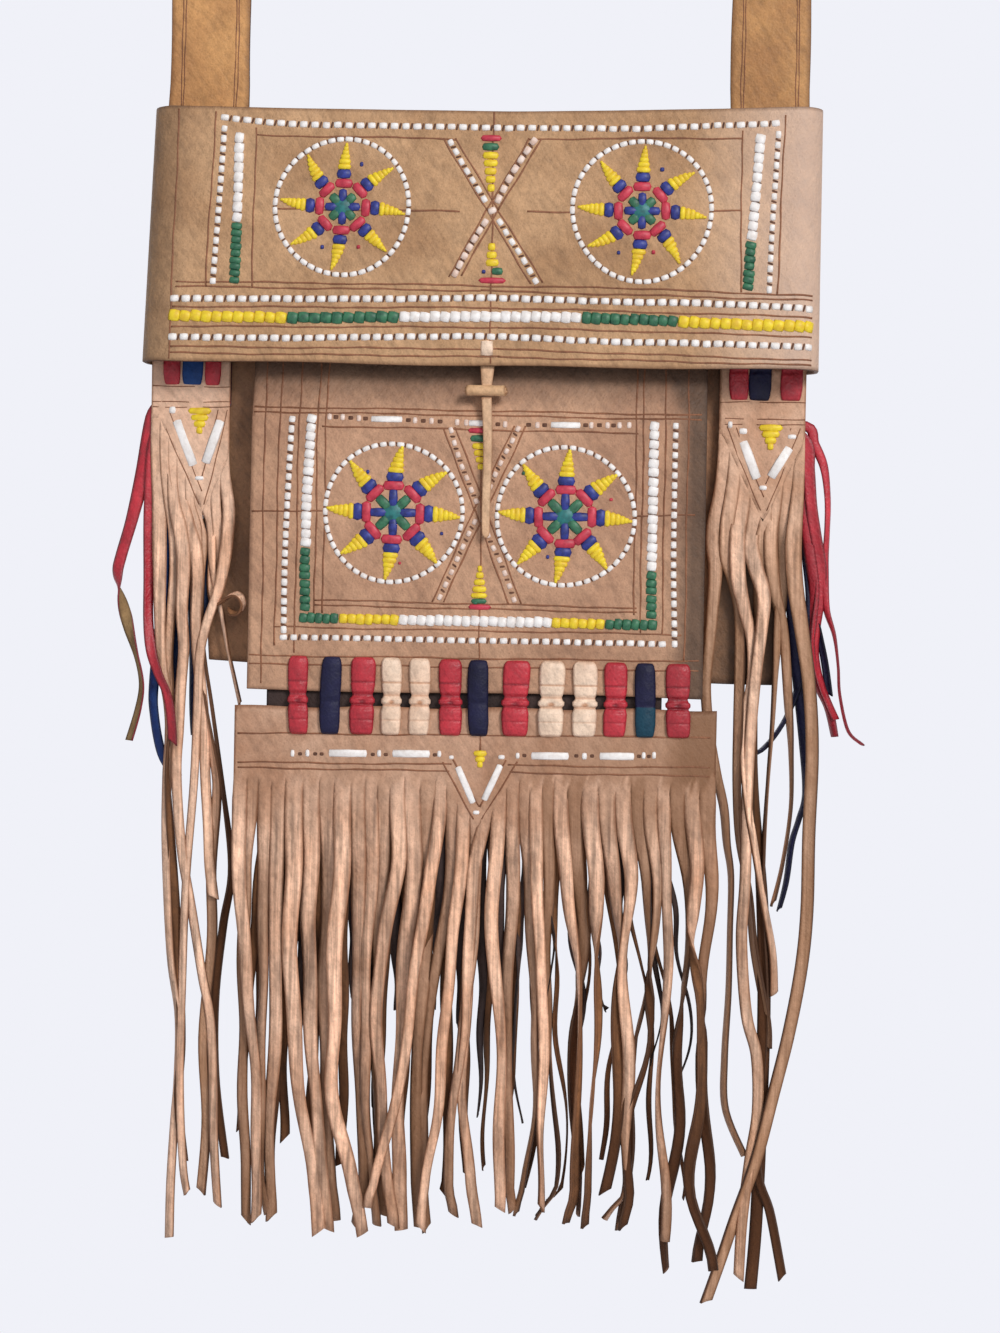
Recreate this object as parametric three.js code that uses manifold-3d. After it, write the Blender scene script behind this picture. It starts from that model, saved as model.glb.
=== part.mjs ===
// A hand-made fringed leather shoulder bag with a sliding cover, hung by its strap.
// Millimetres, +Z up, front towards -Y. The origin is under the crown of the strap.
import * as THREE from "three";
import { mergeVertices } from "three/addons/utils/BufferGeometryUtils.js";
import Module from "manifold-3d";

const wasm = await Module();
wasm.setup();

// Clearances, and how far a strip or a cutting tool runs into what it meets
const SEAM = 0.3;
const RUN_IN = 2;
const COVER_CLEARANCE = 3;
const COVER_SLIDE_GAP = 0.6;

// Sliding cover
const COVER_WIDTH = 302;
const COVER_HEIGHT = 116;
const COVER_WALL = 2;
const COVER_CORNER = 12;

// Shoulder strap
const STRAP_WIDTH = 36;
const STRAP_THICKNESS = 3;
const STRAP_INSET = 6.5;
const STRAP_FLAT_RUN = 190;
const STRAP_TWIST_RUN = 150;
const STRAP_END_LIFT = 24;
const CROWN_STEPS = 27;
const TWIST_STEPS = 8;

// Pouch, with heights measured down from the cover's top edge
const PANEL = 2;
const MOUTH_DEPTH = 6;
const BACK_WIDTH = 262;
const BACK_DROP = 254;
const BACK_CORNER = 8;
const GUSSET_DEPTH = 18;
const GUSSET_WALL = 2;
const GUSSET_INSET = 2.5;
const GUSSET_DROP = 246;
const GUSSET_CORNER = 10;
const FRONT_WIDTH = 205;
const FRONT_DROP = 262;

// Lacing loops
const LACE_STRAND = 1.2;
const LACE_WIDTH = 9.6;
const LACE_PITCH = 14.4;
const LACE_COUNT = 13;
const LACE_SHIFT = 2;
const LACE_MARGIN = 14.5;
const LACE_GAP = 6.5;

// Fringe panel
const FRINGE_SHEET = 1.6;
const FRINGE_WIDTH = 216;
const FRINGE_HEADER = 32;
const FRINGE_LENGTH = 196;
const FRINGE_STRIPS = 34;
const FRINGE_SLIT = 0.9;
const FRINGE_RAGGED = 9;
const FRINGE_SLOPE = 18;
const FRINGE_DRIFT = 8;
const FRINGE_WAVE = 3.2;
const TONGUE_WIDTH = 26;
const TONGUE_DROP = 22;
const STRIP_STEPS = 6;

// Side tassels
const TASSEL_WIDTH = 37;
const TASSEL_TUCK = 3.5;
const TASSEL_HEADER = 21;
const TASSEL_TONGUE = 38;
const TASSEL_STRIPS = 8;
const TASSEL_LENGTH_LEFT = 360;
const TASSEL_LENGTH_RIGHT = 384;
const TASSEL_RAGGED = 16;
const TASSEL_DRIFT = 9;
const TASSEL_SHEET = 1.2;
const LINING_SHEET = 0.8;
const LINING_STRIPS = 3;
const RED_LENGTH = 160;
const NAVY_LENGTH = 205;
const TASSEL_LACE_PITCH = 11.4;
const TASSEL_LACE_WIDTH = 9;
const TASSEL_LACE_GAP = 4;
const TASSEL_LACE_MARGIN = 10.5;
const TASSEL_STEPS = 9;
const FLARE_LEFT = [0, 7, 15, 17, 9, 4, 11];
const FLARE_RIGHT = [0, 10, 14, 13, 12, 16, 26];

// Closing thong and toggle
const THONG_WIDTH = 6.4;
const THONG_STRAND = 1;
const THONG_SLIT_UP = 9.5;
const THONG_HANG = 8;
const TOGGLE_LENGTH = 18;
const TOGGLE_DIAMETER = 5.9;
const TAIL_WIDTH = 4.6;
const TAIL_SHEET = 1.2;
const TAIL_LENGTH = 62.5;

// Laced decoration
const RELIEF = 0.5;
const RELIEF_SEAT = 0.2;
const RING_RADIUS = 31.5;
const RING_BAND = 2.8;
const STAR_GAP = 3;
const STAR_VALLEY = 12;
const ROW_BAND = 2.8;
const COVER_RING_GAP = 70;
const COVER_RING_DROP = 46;
const COVER_CROSS_WIDTH = 39;
const COVER_CROSS_HEIGHT = 63;
const COVER_BORDER_INSET = 24.5;
const COVER_BORDER_TOP = 7.5;
const COVER_BORDER_DROP = 80;
const COVER_ROW_INSET = 8;
const COVER_UPPER_ROW_UP = 28;
const COVER_COLOUR_ROW_UP = 20;
const COVER_LOWER_ROW_UP = 12.2;
const COLOUR_ROW_BAND = 5;
const POUCH_RING_GAP = 11.2;
const POUCH_RING_UP = 79;
const POUCH_CROSS_WIDTH = 33;
const POUCH_CROSS_HEIGHT = 81;
const POUCH_BORDER_INSET = 14.5;
const POUCH_BORDER_UP = 22;
const POUCH_BORDER_HEIGHT = 99;
const CHEVRON_BAR = 5;

const strapSpacing = COVER_WIDTH - 2 * STRAP_INSET - STRAP_WIDTH;

// Depths, from the strap's middle plane
const backFront = STRAP_THICKNESS / 2 + SEAM;
const backRear = backFront + PANEL;
const gussetRear = backFront - SEAM;
const gussetFront = gussetRear - GUSSET_DEPTH;
const frontRear = gussetFront - SEAM;
const frontFace = frontRear - PANEL;
const coverInner = frontFace - COVER_CLEARANCE;
const coverFace = coverInner - COVER_WALL;
const coverBackInner = backRear + COVER_SLIDE_GAP;
const coverRear = coverBackInner + COVER_WALL;
const fringeMiddle = (frontRear + frontFace) / 2;
const tasselLoopRear = backFront - SEAM;
const navyRear = tasselLoopRear - LACE_STRAND - SEAM;
const redRear = navyRear - LINING_SHEET - SEAM;
const tanRear = redRear - LINING_SHEET - SEAM;
const tanFace = tanRear - TASSEL_SHEET;
const tasselMiddle = (navyRear + tanFace) / 2;
const tasselSlot = Math.max(STRAP_THICKNESS, navyRear - tanFace) + 2 * SEAM;

// Heights, from the cover's top edge
const tasselTop = -(COVER_HEIGHT - TASSEL_TUCK);
const strapEnd = tasselTop + TASSEL_LACE_GAP;
const fringeTop = -(FRONT_DROP + LACE_GAP);
const fringeHeaderEnd = fringeTop - FRINGE_HEADER;
const tasselHeaderEnd = tasselTop - TASSEL_HEADER;
const legX = strapSpacing / 2;
const crownBase = STRAP_FLAT_RUN + STRAP_TWIST_RUN;
const crownHalfStep = Math.PI / (2 * CROWN_STEPS);
const strapDrop = crownBase + (legX - STRAP_THICKNESS / 2) * Math.cos(crownHalfStep);

// Leathers
const leather = (color) => new THREE.MeshStandardMaterial({ color, roughness: 0.6, metalness: 0 });
const tan = leather("#c4966e");
const brown = leather("#8a6242");
const red = leather("#b43a44");
const navy = leather("#26264a");
const cream = leather("#e8cdb4");
const white = leather("#f4efea");
const yellow = leather("#e8d04a");

const bag = new THREE.Group();
bag.position.z = -strapDrop;
const coverGroup = new THREE.Group();
bag.add(coverGroup);

function add(name, geometry, material, parent = bag) {
  const mesh = new THREE.Mesh(geometry, material);
  mesh.name = name;
  parent.add(mesh);
  return mesh;
}

// Closed solids for joining and cutting
function solid(geometry) {
  const bare = geometry.clone();
  bare.deleteAttribute("normal");
  bare.deleteAttribute("uv");
  const merged = mergeVertices(bare, 1e-4);
  return new wasm.Manifold(
    new wasm.Mesh({
      numProp: 3,
      vertProperties: Float32Array.from(merged.attributes.position.array),
      triVerts: Uint32Array.from(merged.index.array),
    }),
  );
}

function geometryOf(body) {
  const mesh = body.getMesh();
  const geometry = new THREE.BufferGeometry();
  geometry.setAttribute("position", new THREE.BufferAttribute(Float32Array.from(mesh.vertProperties), 3));
  geometry.setIndex(new THREE.BufferAttribute(Uint32Array.from(mesh.triVerts), 1));
  geometry.computeVertexNormals();
  return geometry;
}

const joined = (geometries) =>
  geometryOf(geometries.map(solid).reduce((whole, piece) => whole.add(piece)));

const cut = (geometry, tools) =>
  geometryOf(tools.map(solid).reduce((whole, tool) => whole.subtract(tool), solid(geometry)));

function block(x0, x1, y0, y1, z0, z1) {
  const box = new THREE.BoxGeometry(x1 - x0, y1 - y0, z1 - z0);
  return box.translate((x0 + x1) / 2, (y0 + y1) / 2, (z0 + z1) / 2);
}

// A flat sheet cut to an outline in the X-Z plane, with its rear face at y = rear
function sheet(outline, thickness, rear) {
  const geometry = new THREE.ExtrudeGeometry(outline, {
    depth: thickness, bevelEnabled: false, curveSegments: 6,
  });
  return geometry.rotateX(Math.PI / 2).translate(0, rear, 0);
}

function polygon(points) {
  return new THREE.Shape(points.map(([x, z]) => new THREE.Vector2(x, z)));
}

// A flat panel with its two lower corners rounded
function panelOutline(width, top, bottom, corner) {
  const half = width / 2;
  const outline = new THREE.Shape();
  outline.moveTo(-half, top);
  outline.lineTo(-half, bottom + corner);
  outline.absarc(-half + corner, bottom + corner, corner, Math.PI, Math.PI * 1.5);
  outline.absarc(half - corner, bottom + corner, corner, Math.PI * 1.5, Math.PI * 2);
  outline.lineTo(half, top);
  outline.closePath();
  return outline;
}

// A flat band that follows frames of a centre, an across direction and a travel direction
function ribbon(frames, width, thickness) {
  const steps = frames.length - 1;
  const geometry = new THREE.BoxGeometry(width, thickness, steps, 1, 1, steps);
  const position = geometry.attributes.position;
  for (let i = 0; i < position.count; i += 1) {
    const frame = frames[Math.round(position.getZ(i) + steps / 2)];
    const normal = new THREE.Vector3().crossVectors(frame.travel, frame.across);
    const point = frame.centre
      .clone()
      .addScaledVector(frame.across, position.getX(i))
      .addScaledVector(normal, position.getY(i));
    position.setXYZ(i, point.x, point.y, point.z);
  }
  return geometry;
}

// A hanging strip whose middle line runs through points of the X-Z plane
function strip(points, y, width, thickness, steps) {
  const line = new THREE.SplineCurve(points.map(([x, z]) => new THREE.Vector2(x, z)));
  const frames = line.getPoints(steps).map((p) => ({
    centre: new THREE.Vector3(p.x, y, p.y),
    across: new THREE.Vector3(1, 0, 0),
    travel: new THREE.Vector3(0, 0, -1),
  }));
  return ribbon(frames, width, thickness);
}

// A repeatable number from 0 to 1 for each seed
function vary(seed) {
  const wave = Math.sin(seed * 12.9898) * 43758.5453;
  return wave - Math.floor(wave);
}

// A lacing loop: a flat strand round a slot of given depth and height, as wide as the lace
function loop(x, middle, slot, top, bottom, width, strand) {
  const outer = polygon([
    [-slot / 2 - strand, bottom - strand],
    [slot / 2 + strand, bottom - strand],
    [slot / 2 + strand, top + strand],
    [-slot / 2 - strand, top + strand],
  ]);
  outer.holes.push(
    new THREE.Path([
      new THREE.Vector2(-slot / 2, bottom),
      new THREE.Vector2(-slot / 2, top),
      new THREE.Vector2(slot / 2, top),
      new THREE.Vector2(slot / 2, bottom),
    ]),
  );
  const geometry = new THREE.ExtrudeGeometry(outer, { depth: width, bevelEnabled: false });
  geometry.rotateX(Math.PI / 2).rotateZ(Math.PI / 2);
  return geometry.translate(x - width / 2, middle, 0);
}

// The slit that a loop's strand passes, with the strand's middle height at z
function slit(x, width, strand, z, y0, y1) {
  return block(
    x - width / 2 - SEAM, x + width / 2 + SEAM, y0 - RUN_IN / 2, y1 + RUN_IN / 2,
    z - strand / 2 - SEAM, z + strand / 2 + SEAM,
  );
}

// Shoulder strap: flat legs on the back panel, a quarter twist on each side and a round crown
function strapFrames() {
  const left = [];
  const up = new THREE.Vector3(0, 0, 1);
  const station = (y, z, turn) =>
    left.push({
      centre: new THREE.Vector3(-legX, y, z),
      across: new THREE.Vector3(Math.cos(turn), -Math.sin(turn), 0),
      travel: up,
    });
  const jogEnd = strapEnd + STRAP_END_LIFT;
  station(tasselMiddle, strapEnd, 0);
  station(tasselMiddle, jogEnd - STRAP_END_LIFT / 3, 0);
  station(0, jogEnd, 0);
  station(0, 0, 0);
  for (let i = 0; i < TWIST_STEPS; i += 1) {
    const t = i / TWIST_STEPS;
    station(0, STRAP_FLAT_RUN + t * STRAP_TWIST_RUN, (t * t * (3 - 2 * t) * Math.PI) / 2);
  }
  for (let i = 0; 2 * i < CROWN_STEPS; i += 1) {
    const angle = (i * Math.PI) / CROWN_STEPS;
    left.push({
      centre: new THREE.Vector3(-legX * Math.cos(angle), 0, crownBase + legX * Math.sin(angle)),
      across: new THREE.Vector3(0, -1, 0),
      travel: new THREE.Vector3(Math.sin(angle), 0, Math.cos(angle)),
    });
  }
  const right = left
    .map(({ centre, across, travel }) => ({
      centre: new THREE.Vector3(-centre.x, centre.y, centre.z),
      across: new THREE.Vector3(-across.x, across.y, across.z),
      travel: new THREE.Vector3(travel.x, -travel.y, -travel.z),
    }))
    .reverse();
  return [...left, ...right];
}

const tasselLaceX = (side, k) => side * legX + (k - 1) * TASSEL_LACE_PITCH;
const strapSlits = [];
for (const side of [-1, 1]) {
  for (let k = 0; k < 3; k += 1) {
    strapSlits.push(
      slit(
        tasselLaceX(side, k), TASSEL_LACE_WIDTH, LACE_STRAND,
        strapEnd + TASSEL_LACE_MARGIN + LACE_STRAND / 2,
        tasselMiddle - STRAP_THICKNESS / 2, tasselMiddle + STRAP_THICKNESS / 2,
      ),
    );
  }
}
add("shoulder_strap", cut(ribbon(strapFrames(), STRAP_WIDTH, STRAP_THICKNESS), strapSlits), tan);

// Pouch back panel
add(
  "pouch_back_panel",
  sheet(panelOutline(BACK_WIDTH, -MOUTH_DEPTH, -BACK_DROP, BACK_CORNER), PANEL, backRear),
  brown,
);

// Pouch gusset: a U-shaped strip between the two panels
const gussetOuter = FRONT_WIDTH - 2 * GUSSET_INSET;
const gussetBlock = sheet(
  panelOutline(gussetOuter, -MOUTH_DEPTH, -GUSSET_DROP, GUSSET_CORNER), GUSSET_DEPTH, gussetRear,
);
const gussetHollow = sheet(
  panelOutline(
    gussetOuter - 2 * GUSSET_WALL, -MOUTH_DEPTH + RUN_IN / 2, -GUSSET_DROP + GUSSET_WALL,
    GUSSET_CORNER - GUSSET_WALL,
  ),
  GUSSET_DEPTH + RUN_IN, gussetRear + RUN_IN / 2,
);
add("pouch_gusset", cut(gussetBlock, [gussetHollow]), brown);

// Pouch front panel, with a slit in its tab for each lacing loop
const laceX = (k) => LACE_SHIFT + (k - (LACE_COUNT - 1) / 2) * LACE_PITCH;
const laceTop = -FRONT_DROP + LACE_MARGIN;
const laceBottom = fringeTop - LACE_MARGIN;
const frontSlits = [];
const fringeSlits = [];
for (let k = 0; k < LACE_COUNT; k += 1) {
  frontSlits.push(slit(laceX(k), LACE_WIDTH, LACE_STRAND, laceTop + LACE_STRAND / 2, frontFace, frontRear));
  fringeSlits.push(
    slit(laceX(k), LACE_WIDTH, LACE_STRAND, laceBottom - LACE_STRAND / 2, frontFace, frontRear),
  );
}
add(
  "pouch_front_panel",
  cut(block(-FRONT_WIDTH / 2, FRONT_WIDTH / 2, frontFace, frontRear, -FRONT_DROP, -MOUTH_DEPTH), frontSlits),
  tan,
);

// Lacing loops between the tab and the fringe panel
const laceDyes = [red, navy, red, cream, cream, red, navy, red, cream, cream, red, navy, red];
for (let k = 0; k < LACE_COUNT; k += 1) {
  add(
    `lacing_${String(k + 1).padStart(2, "0")}`,
    loop(laceX(k), fringeMiddle, PANEL + 2 * SEAM, laceTop, laceBottom, LACE_WIDTH, LACE_STRAND),
    laceDyes[k % laceDyes.length],
  );
}

// Fringe panel: a header with a pointed tongue, cut below into strips
const fringeRear = fringeMiddle + FRINGE_SHEET / 2;
const fringePitch = FRINGE_WIDTH / FRINGE_STRIPS;
const fringeParts = [
  block(
    -FRINGE_WIDTH / 2, FRINGE_WIDTH / 2, fringeRear - FRINGE_SHEET, fringeRear, fringeHeaderEnd, fringeTop,
  ),
  sheet(
    polygon([
      [-TONGUE_WIDTH / 2, fringeHeaderEnd + RUN_IN / 2],
      [0, fringeHeaderEnd - TONGUE_DROP],
      [TONGUE_WIDTH / 2, fringeHeaderEnd + RUN_IN / 2],
    ]),
    FRINGE_SHEET, fringeRear,
  ),
];
for (let i = 0; i < FRINGE_STRIPS; i += 1) {
  const x = (i + 0.5) * fringePitch - FRINGE_WIDTH / 2;
  const drift = (vary(i + 0.11) - 0.5) * 2 * FRINGE_DRIFT;
  const wave = (vary(i + 0.37) - 0.5) * 2 * FRINGE_WAVE;
  const length =
    FRINGE_LENGTH + (vary(i + 0.53) - 0.5) * 2 * FRINGE_RAGGED + (FRINGE_SLOPE * x) / FRINGE_WIDTH;
  fringeParts.push(
    strip(
      [
        [x, fringeHeaderEnd + RUN_IN],
        [x, fringeHeaderEnd - length * 0.12],
        [x + wave + drift * 0.1, fringeHeaderEnd - length * 0.4],
        [x - wave * 0.6 + drift * 0.5, fringeHeaderEnd - length * 0.7],
        [x + drift, fringeHeaderEnd - length],
      ],
      fringeMiddle, fringePitch - FRINGE_SLIT, FRINGE_SHEET, STRIP_STEPS,
    ),
  );
}
add("fringe_panel", cut(joined(fringeParts), fringeSlits), tan);

// Side tassels: a tan layer in front of a red and a navy one, all laced to the strap's end
const tasselLaceTop = strapEnd + TASSEL_LACE_MARGIN;
const tasselLaceBottom = tasselTop - TASSEL_LACE_MARGIN;

function tasselHeader(side, rear, thickness) {
  const x = side * legX;
  return block(
    x - TASSEL_WIDTH / 2, x + TASSEL_WIDTH / 2, rear - thickness, rear, tasselHeaderEnd, tasselTop,
  );
}

function tasselSlits(side, rear, thickness) {
  return [0, 1, 2].map((k) =>
    slit(
      tasselLaceX(side, k), TASSEL_LACE_WIDTH, LACE_STRAND, tasselLaceBottom - LACE_STRAND / 2,
      rear - thickness, rear,
    ),
  );
}

function tanLayer(side, length) {
  const x0 = side * legX;
  const pitch = TASSEL_WIDTH / TASSEL_STRIPS;
  const parts = [
    tasselHeader(side, tanRear, TASSEL_SHEET),
    sheet(
      polygon([
        [x0 - TASSEL_WIDTH / 2, tasselHeaderEnd + RUN_IN / 2],
        [x0, tasselHeaderEnd - TASSEL_TONGUE],
        [x0 + TASSEL_WIDTH / 2, tasselHeaderEnd + RUN_IN / 2],
      ]),
      TASSEL_SHEET, tanRear,
    ),
  ];
  for (let i = 0; i < TASSEL_STRIPS; i += 1) {
    const seed = i + (side > 0 ? 50 : 80);
    const x = x0 + (i + 0.5) * pitch - TASSEL_WIDTH / 2;
    const drift = (vary(seed + 0.19) - 0.5) * 2 * TASSEL_DRIFT;
    const reach = length + (vary(seed + 0.61) - 0.5) * 2 * TASSEL_RAGGED;
    parts.push(
      strip(
        [
          [x, tasselHeaderEnd + RUN_IN],
          [x, tasselHeaderEnd - reach * 0.14],
          [x + drift * 0.2, tasselHeaderEnd - reach * 0.4],
          [x + drift * 0.45, tasselHeaderEnd - reach * 0.7],
          [x + drift, tasselHeaderEnd - reach],
        ],
        tanRear - TASSEL_SHEET / 2, pitch - FRINGE_SLIT, TASSEL_SHEET, TASSEL_STEPS,
      ),
    );
  }
  return cut(joined(parts), tasselSlits(side, tanRear, TASSEL_SHEET));
}

// A dyed layer whose outer strips flare past the tassel's edge
function dyedLayer(side, rear, length, flare, share) {
  const pitch = TASSEL_WIDTH / LINING_STRIPS;
  const parts = [tasselHeader(side, rear, LINING_SHEET)];
  for (let i = 0; i < LINING_STRIPS; i += 1) {
    const outward = side > 0 ? i : LINING_STRIPS - 1 - i;
    const x = side * legX + (i + 0.5) * pitch - TASSEL_WIDTH / 2;
    const part = share[outward];
    const reach = length * (1 - 0.08 * (LINING_STRIPS - 1 - outward));
    const points = flare.map((out, k) => [
      x + side * out * part,
      tasselHeaderEnd + RUN_IN - ((reach + RUN_IN) * k) / (flare.length - 1),
    ]);
    parts.push(
      strip(points, rear - LINING_SHEET / 2, pitch * 0.5, LINING_SHEET, TASSEL_STEPS),
    );
  }
  return cut(joined(parts), tasselSlits(side, rear, LINING_SHEET));
}

for (const [name, side, length, flare] of [
  ["left", -1, TASSEL_LENGTH_LEFT, FLARE_LEFT],
  ["right", 1, TASSEL_LENGTH_RIGHT, FLARE_RIGHT],
]) {
  add(`tassel_${name}_front`, tanLayer(side, length), tan);
  add(`tassel_${name}_red`, dyedLayer(side, redRear, RED_LENGTH, flare, [0.1, 0.5, 1]), red);
  add(`tassel_${name}_navy`, dyedLayer(side, navyRear, NAVY_LENGTH, flare, [0.05, 0.2, 0.6]), navy);
  for (let k = 0; k < 3; k += 1) {
    add(
      `tassel_${name}_lacing_${k + 1}`,
      loop(
        tasselLaceX(side, k), tasselMiddle, tasselSlot, tasselLaceTop, tasselLaceBottom,
        TASSEL_LACE_WIDTH, LACE_STRAND,
      ),
      k === 1 ? navy : red,
    );
  }
}

// Sliding cover: a flattened sleeve with round sides and a slit for the thong
function sleeveOutline(inset, corner) {
  const x = COVER_WIDTH / 2 - inset;
  const y0 = coverFace + inset;
  const y1 = coverRear - inset;
  const outline = new THREE.Shape();
  outline.absarc(x - corner, y0 + corner, corner, -Math.PI / 2, 0);
  outline.absarc(x - corner, y1 - corner, corner, 0, Math.PI / 2);
  outline.absarc(-x + corner, y1 - corner, corner, Math.PI / 2, Math.PI);
  outline.absarc(-x + corner, y0 + corner, corner, Math.PI, Math.PI * 1.5);
  outline.closePath();
  return outline;
}

const sleeve = sleeveOutline(0, COVER_CORNER);
sleeve.holes.push(sleeveOutline(COVER_WALL, COVER_CORNER - COVER_WALL));
const sleeveGeometry = new THREE.ExtrudeGeometry(sleeve, {
  depth: COVER_HEIGHT, bevelEnabled: false, curveSegments: 7,
}).translate(0, 0, -COVER_HEIGHT);
const coverMiddle = (coverFace + coverInner) / 2;
const thongTop = -COVER_HEIGHT + THONG_SLIT_UP;
const thongBottom = -COVER_HEIGHT - THONG_HANG;
const thongSlit = slit(
  0, THONG_WIDTH, THONG_STRAND, thongTop + THONG_STRAND / 2, coverFace, coverInner,
);
add("sliding_cover", cut(sleeveGeometry, [thongSlit]), tan, coverGroup);

// Closing thong, rolled toggle bar and tail
add(
  "closing_thong",
  loop(0, coverMiddle, COVER_WALL + 2 * SEAM, thongTop, thongBottom, THONG_WIDTH, THONG_STRAND),
  cream, coverGroup,
);
const toggleTop = thongBottom - THONG_STRAND - SEAM;
const toggle = new THREE.CylinderGeometry(TOGGLE_DIAMETER / 2, TOGGLE_DIAMETER / 2, TOGGLE_LENGTH, 16);
add("toggle_bar", toggle.rotateZ(Math.PI / 2), cream, coverGroup).position.set(
  0, coverMiddle, toggleTop - TOGGLE_DIAMETER / 2,
);
const tailTop = toggleTop - TOGGLE_DIAMETER - SEAM;
add(
  "thong_tail",
  block(
    -TAIL_WIDTH / 2, TAIL_WIDTH / 2, coverMiddle - TAIL_SHEET / 2, coverMiddle + TAIL_SHEET / 2,
    tailTop - TAIL_LENGTH, tailTop,
  ),
  cream, coverGroup,
);

// Laced rings and stars, one level on the leather, and laced rows over them
const ringSeat = (face) => face - RELIEF_SEAT;
const rowSeat = (face) => face - 2 * RELIEF_SEAT - RELIEF;

function ring() {
  const outline = new THREE.Shape().absarc(0, 0, RING_RADIUS + RING_BAND / 2, 0, Math.PI * 2);
  outline.holes.push(new THREE.Path().absarc(0, 0, RING_RADIUS - RING_BAND / 2, 0, Math.PI * 2, true));
  const geometry = new THREE.ExtrudeGeometry(outline, {
    depth: RELIEF, bevelEnabled: false, curveSegments: 32,
  });
  return geometry.rotateX(Math.PI / 2);
}

function star() {
  const points = [];
  for (let k = 0; k < 16; k += 1) {
    const radius = k % 2 ? STAR_VALLEY : RING_RADIUS - RING_BAND / 2 - STAR_GAP;
    const angle = (k * Math.PI) / 8;
    points.push([radius * Math.sin(angle), radius * Math.cos(angle)]);
  }
  return sheet(polygon(points), RELIEF, 0);
}

function cross(width, height) {
  const length = Math.hypot(width, height);
  const bar = () => block(-ROW_BAND / 2, ROW_BAND / 2, -RELIEF, 0, -length / 2, length / 2);
  const lean = Math.atan2(width, height);
  return joined([bar().rotateY(lean), bar().rotateY(-lean)]);
}

function bracket(halfWidth, z0, z1, openBelow) {
  const side = (x) => block(x - ROW_BAND / 2, x + ROW_BAND / 2, -RELIEF, 0, z0, z1);
  const z = openBelow ? z1 : z0;
  const across = block(
    -halfWidth - ROW_BAND / 2, halfWidth + ROW_BAND / 2, -RELIEF, 0, z - ROW_BAND / 2, z + ROW_BAND / 2,
  );
  return joined([side(-halfWidth), side(halfWidth), across]);
}

const coverRingX = COVER_RING_GAP / 2 + RING_RADIUS + RING_BAND / 2;
const pouchRingX = POUCH_RING_GAP / 2 + RING_RADIUS + RING_BAND / 2;
const pouchRingZ = -FRONT_DROP + POUCH_RING_UP;
for (const [name, side] of [["left", -1], ["right", 1]]) {
  add(`cover_ring_${name}`, ring(), white, coverGroup).position.set(
    side * coverRingX, ringSeat(coverFace), -COVER_RING_DROP,
  );
  add(`cover_star_${name}`, star(), yellow, coverGroup).position.set(
    side * coverRingX, ringSeat(coverFace), -COVER_RING_DROP,
  );
  add(`pouch_ring_${name}`, ring(), white).position.set(side * pouchRingX, ringSeat(frontFace), pouchRingZ);
  add(`pouch_star_${name}`, star(), yellow).position.set(side * pouchRingX, ringSeat(frontFace), pouchRingZ);
}
add("cover_cross", cross(COVER_CROSS_WIDTH, COVER_CROSS_HEIGHT), white, coverGroup).position.set(
  0, ringSeat(coverFace), -COVER_RING_DROP,
);
add("pouch_cross", cross(POUCH_CROSS_WIDTH, POUCH_CROSS_HEIGHT), white).position.set(
  0, ringSeat(frontFace), pouchRingZ,
);
add(
  "cover_border",
  bracket(COVER_WIDTH / 2 - COVER_BORDER_INSET, -COVER_BORDER_DROP, -COVER_BORDER_TOP, true),
  white, coverGroup,
).position.y = rowSeat(coverFace);
const borderBottom = -FRONT_DROP + POUCH_BORDER_UP;
add(
  "pouch_border",
  bracket(
    FRONT_WIDTH / 2 - POUCH_BORDER_INSET, borderBottom, borderBottom + POUCH_BORDER_HEIGHT, false,
  ),
  white,
).position.y = rowSeat(frontFace);

// Laced rows along the cover's lower edge
const rowHalf = COVER_WIDTH / 2 - COVER_CORNER - COVER_ROW_INSET + COVER_CORNER / 2;
for (const [name, up, band, dye] of [
  ["cover_row_upper", COVER_UPPER_ROW_UP, ROW_BAND, white],
  ["cover_row_coloured", COVER_COLOUR_ROW_UP, COLOUR_ROW_BAND, yellow],
  ["cover_row_lower", COVER_LOWER_ROW_UP, ROW_BAND, white],
]) {
  const row = add(name, block(-rowHalf, rowHalf, -RELIEF, 0, -band / 2, band / 2), dye, coverGroup);
  row.position.set(0, rowSeat(coverFace), -COVER_HEIGHT + up);
}

// White chevrons on the fringe tongue and the tassel tongues
function chevron(width, drop) {
  const half = width / 2;
  return polygon([
    [-half, 0],
    [0, -drop],
    [half, 0],
    [half - CHEVRON_BAR, 0],
    [0, -drop + (CHEVRON_BAR * drop) / half],
    [-half + CHEVRON_BAR, 0],
  ]);
}
const chevronInset = FRINGE_SLIT;
add(
  "fringe_chevron",
  sheet(chevron(TONGUE_WIDTH - 2 * chevronInset, TONGUE_DROP - chevronInset), RELIEF, 0),
  white,
).position.set(0, fringeRear - FRINGE_SHEET - RELIEF_SEAT, fringeHeaderEnd);
for (const [name, side] of [["left", -1], ["right", 1]]) {
  add(
    `tassel_${name}_chevron`,
    sheet(chevron(TASSEL_WIDTH - 2 * chevronInset, TASSEL_TONGUE - chevronInset), RELIEF, 0),
    white,
  ).position.set(side * legX, tanFace - RELIEF_SEAT, tasselHeaderEnd);
}

const part = new THREE.Group();
part.add(bag);
export default part;
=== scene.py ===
import math
from functools import partial

import bmesh
import bpy
from mathutils import Matrix, Vector


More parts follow.
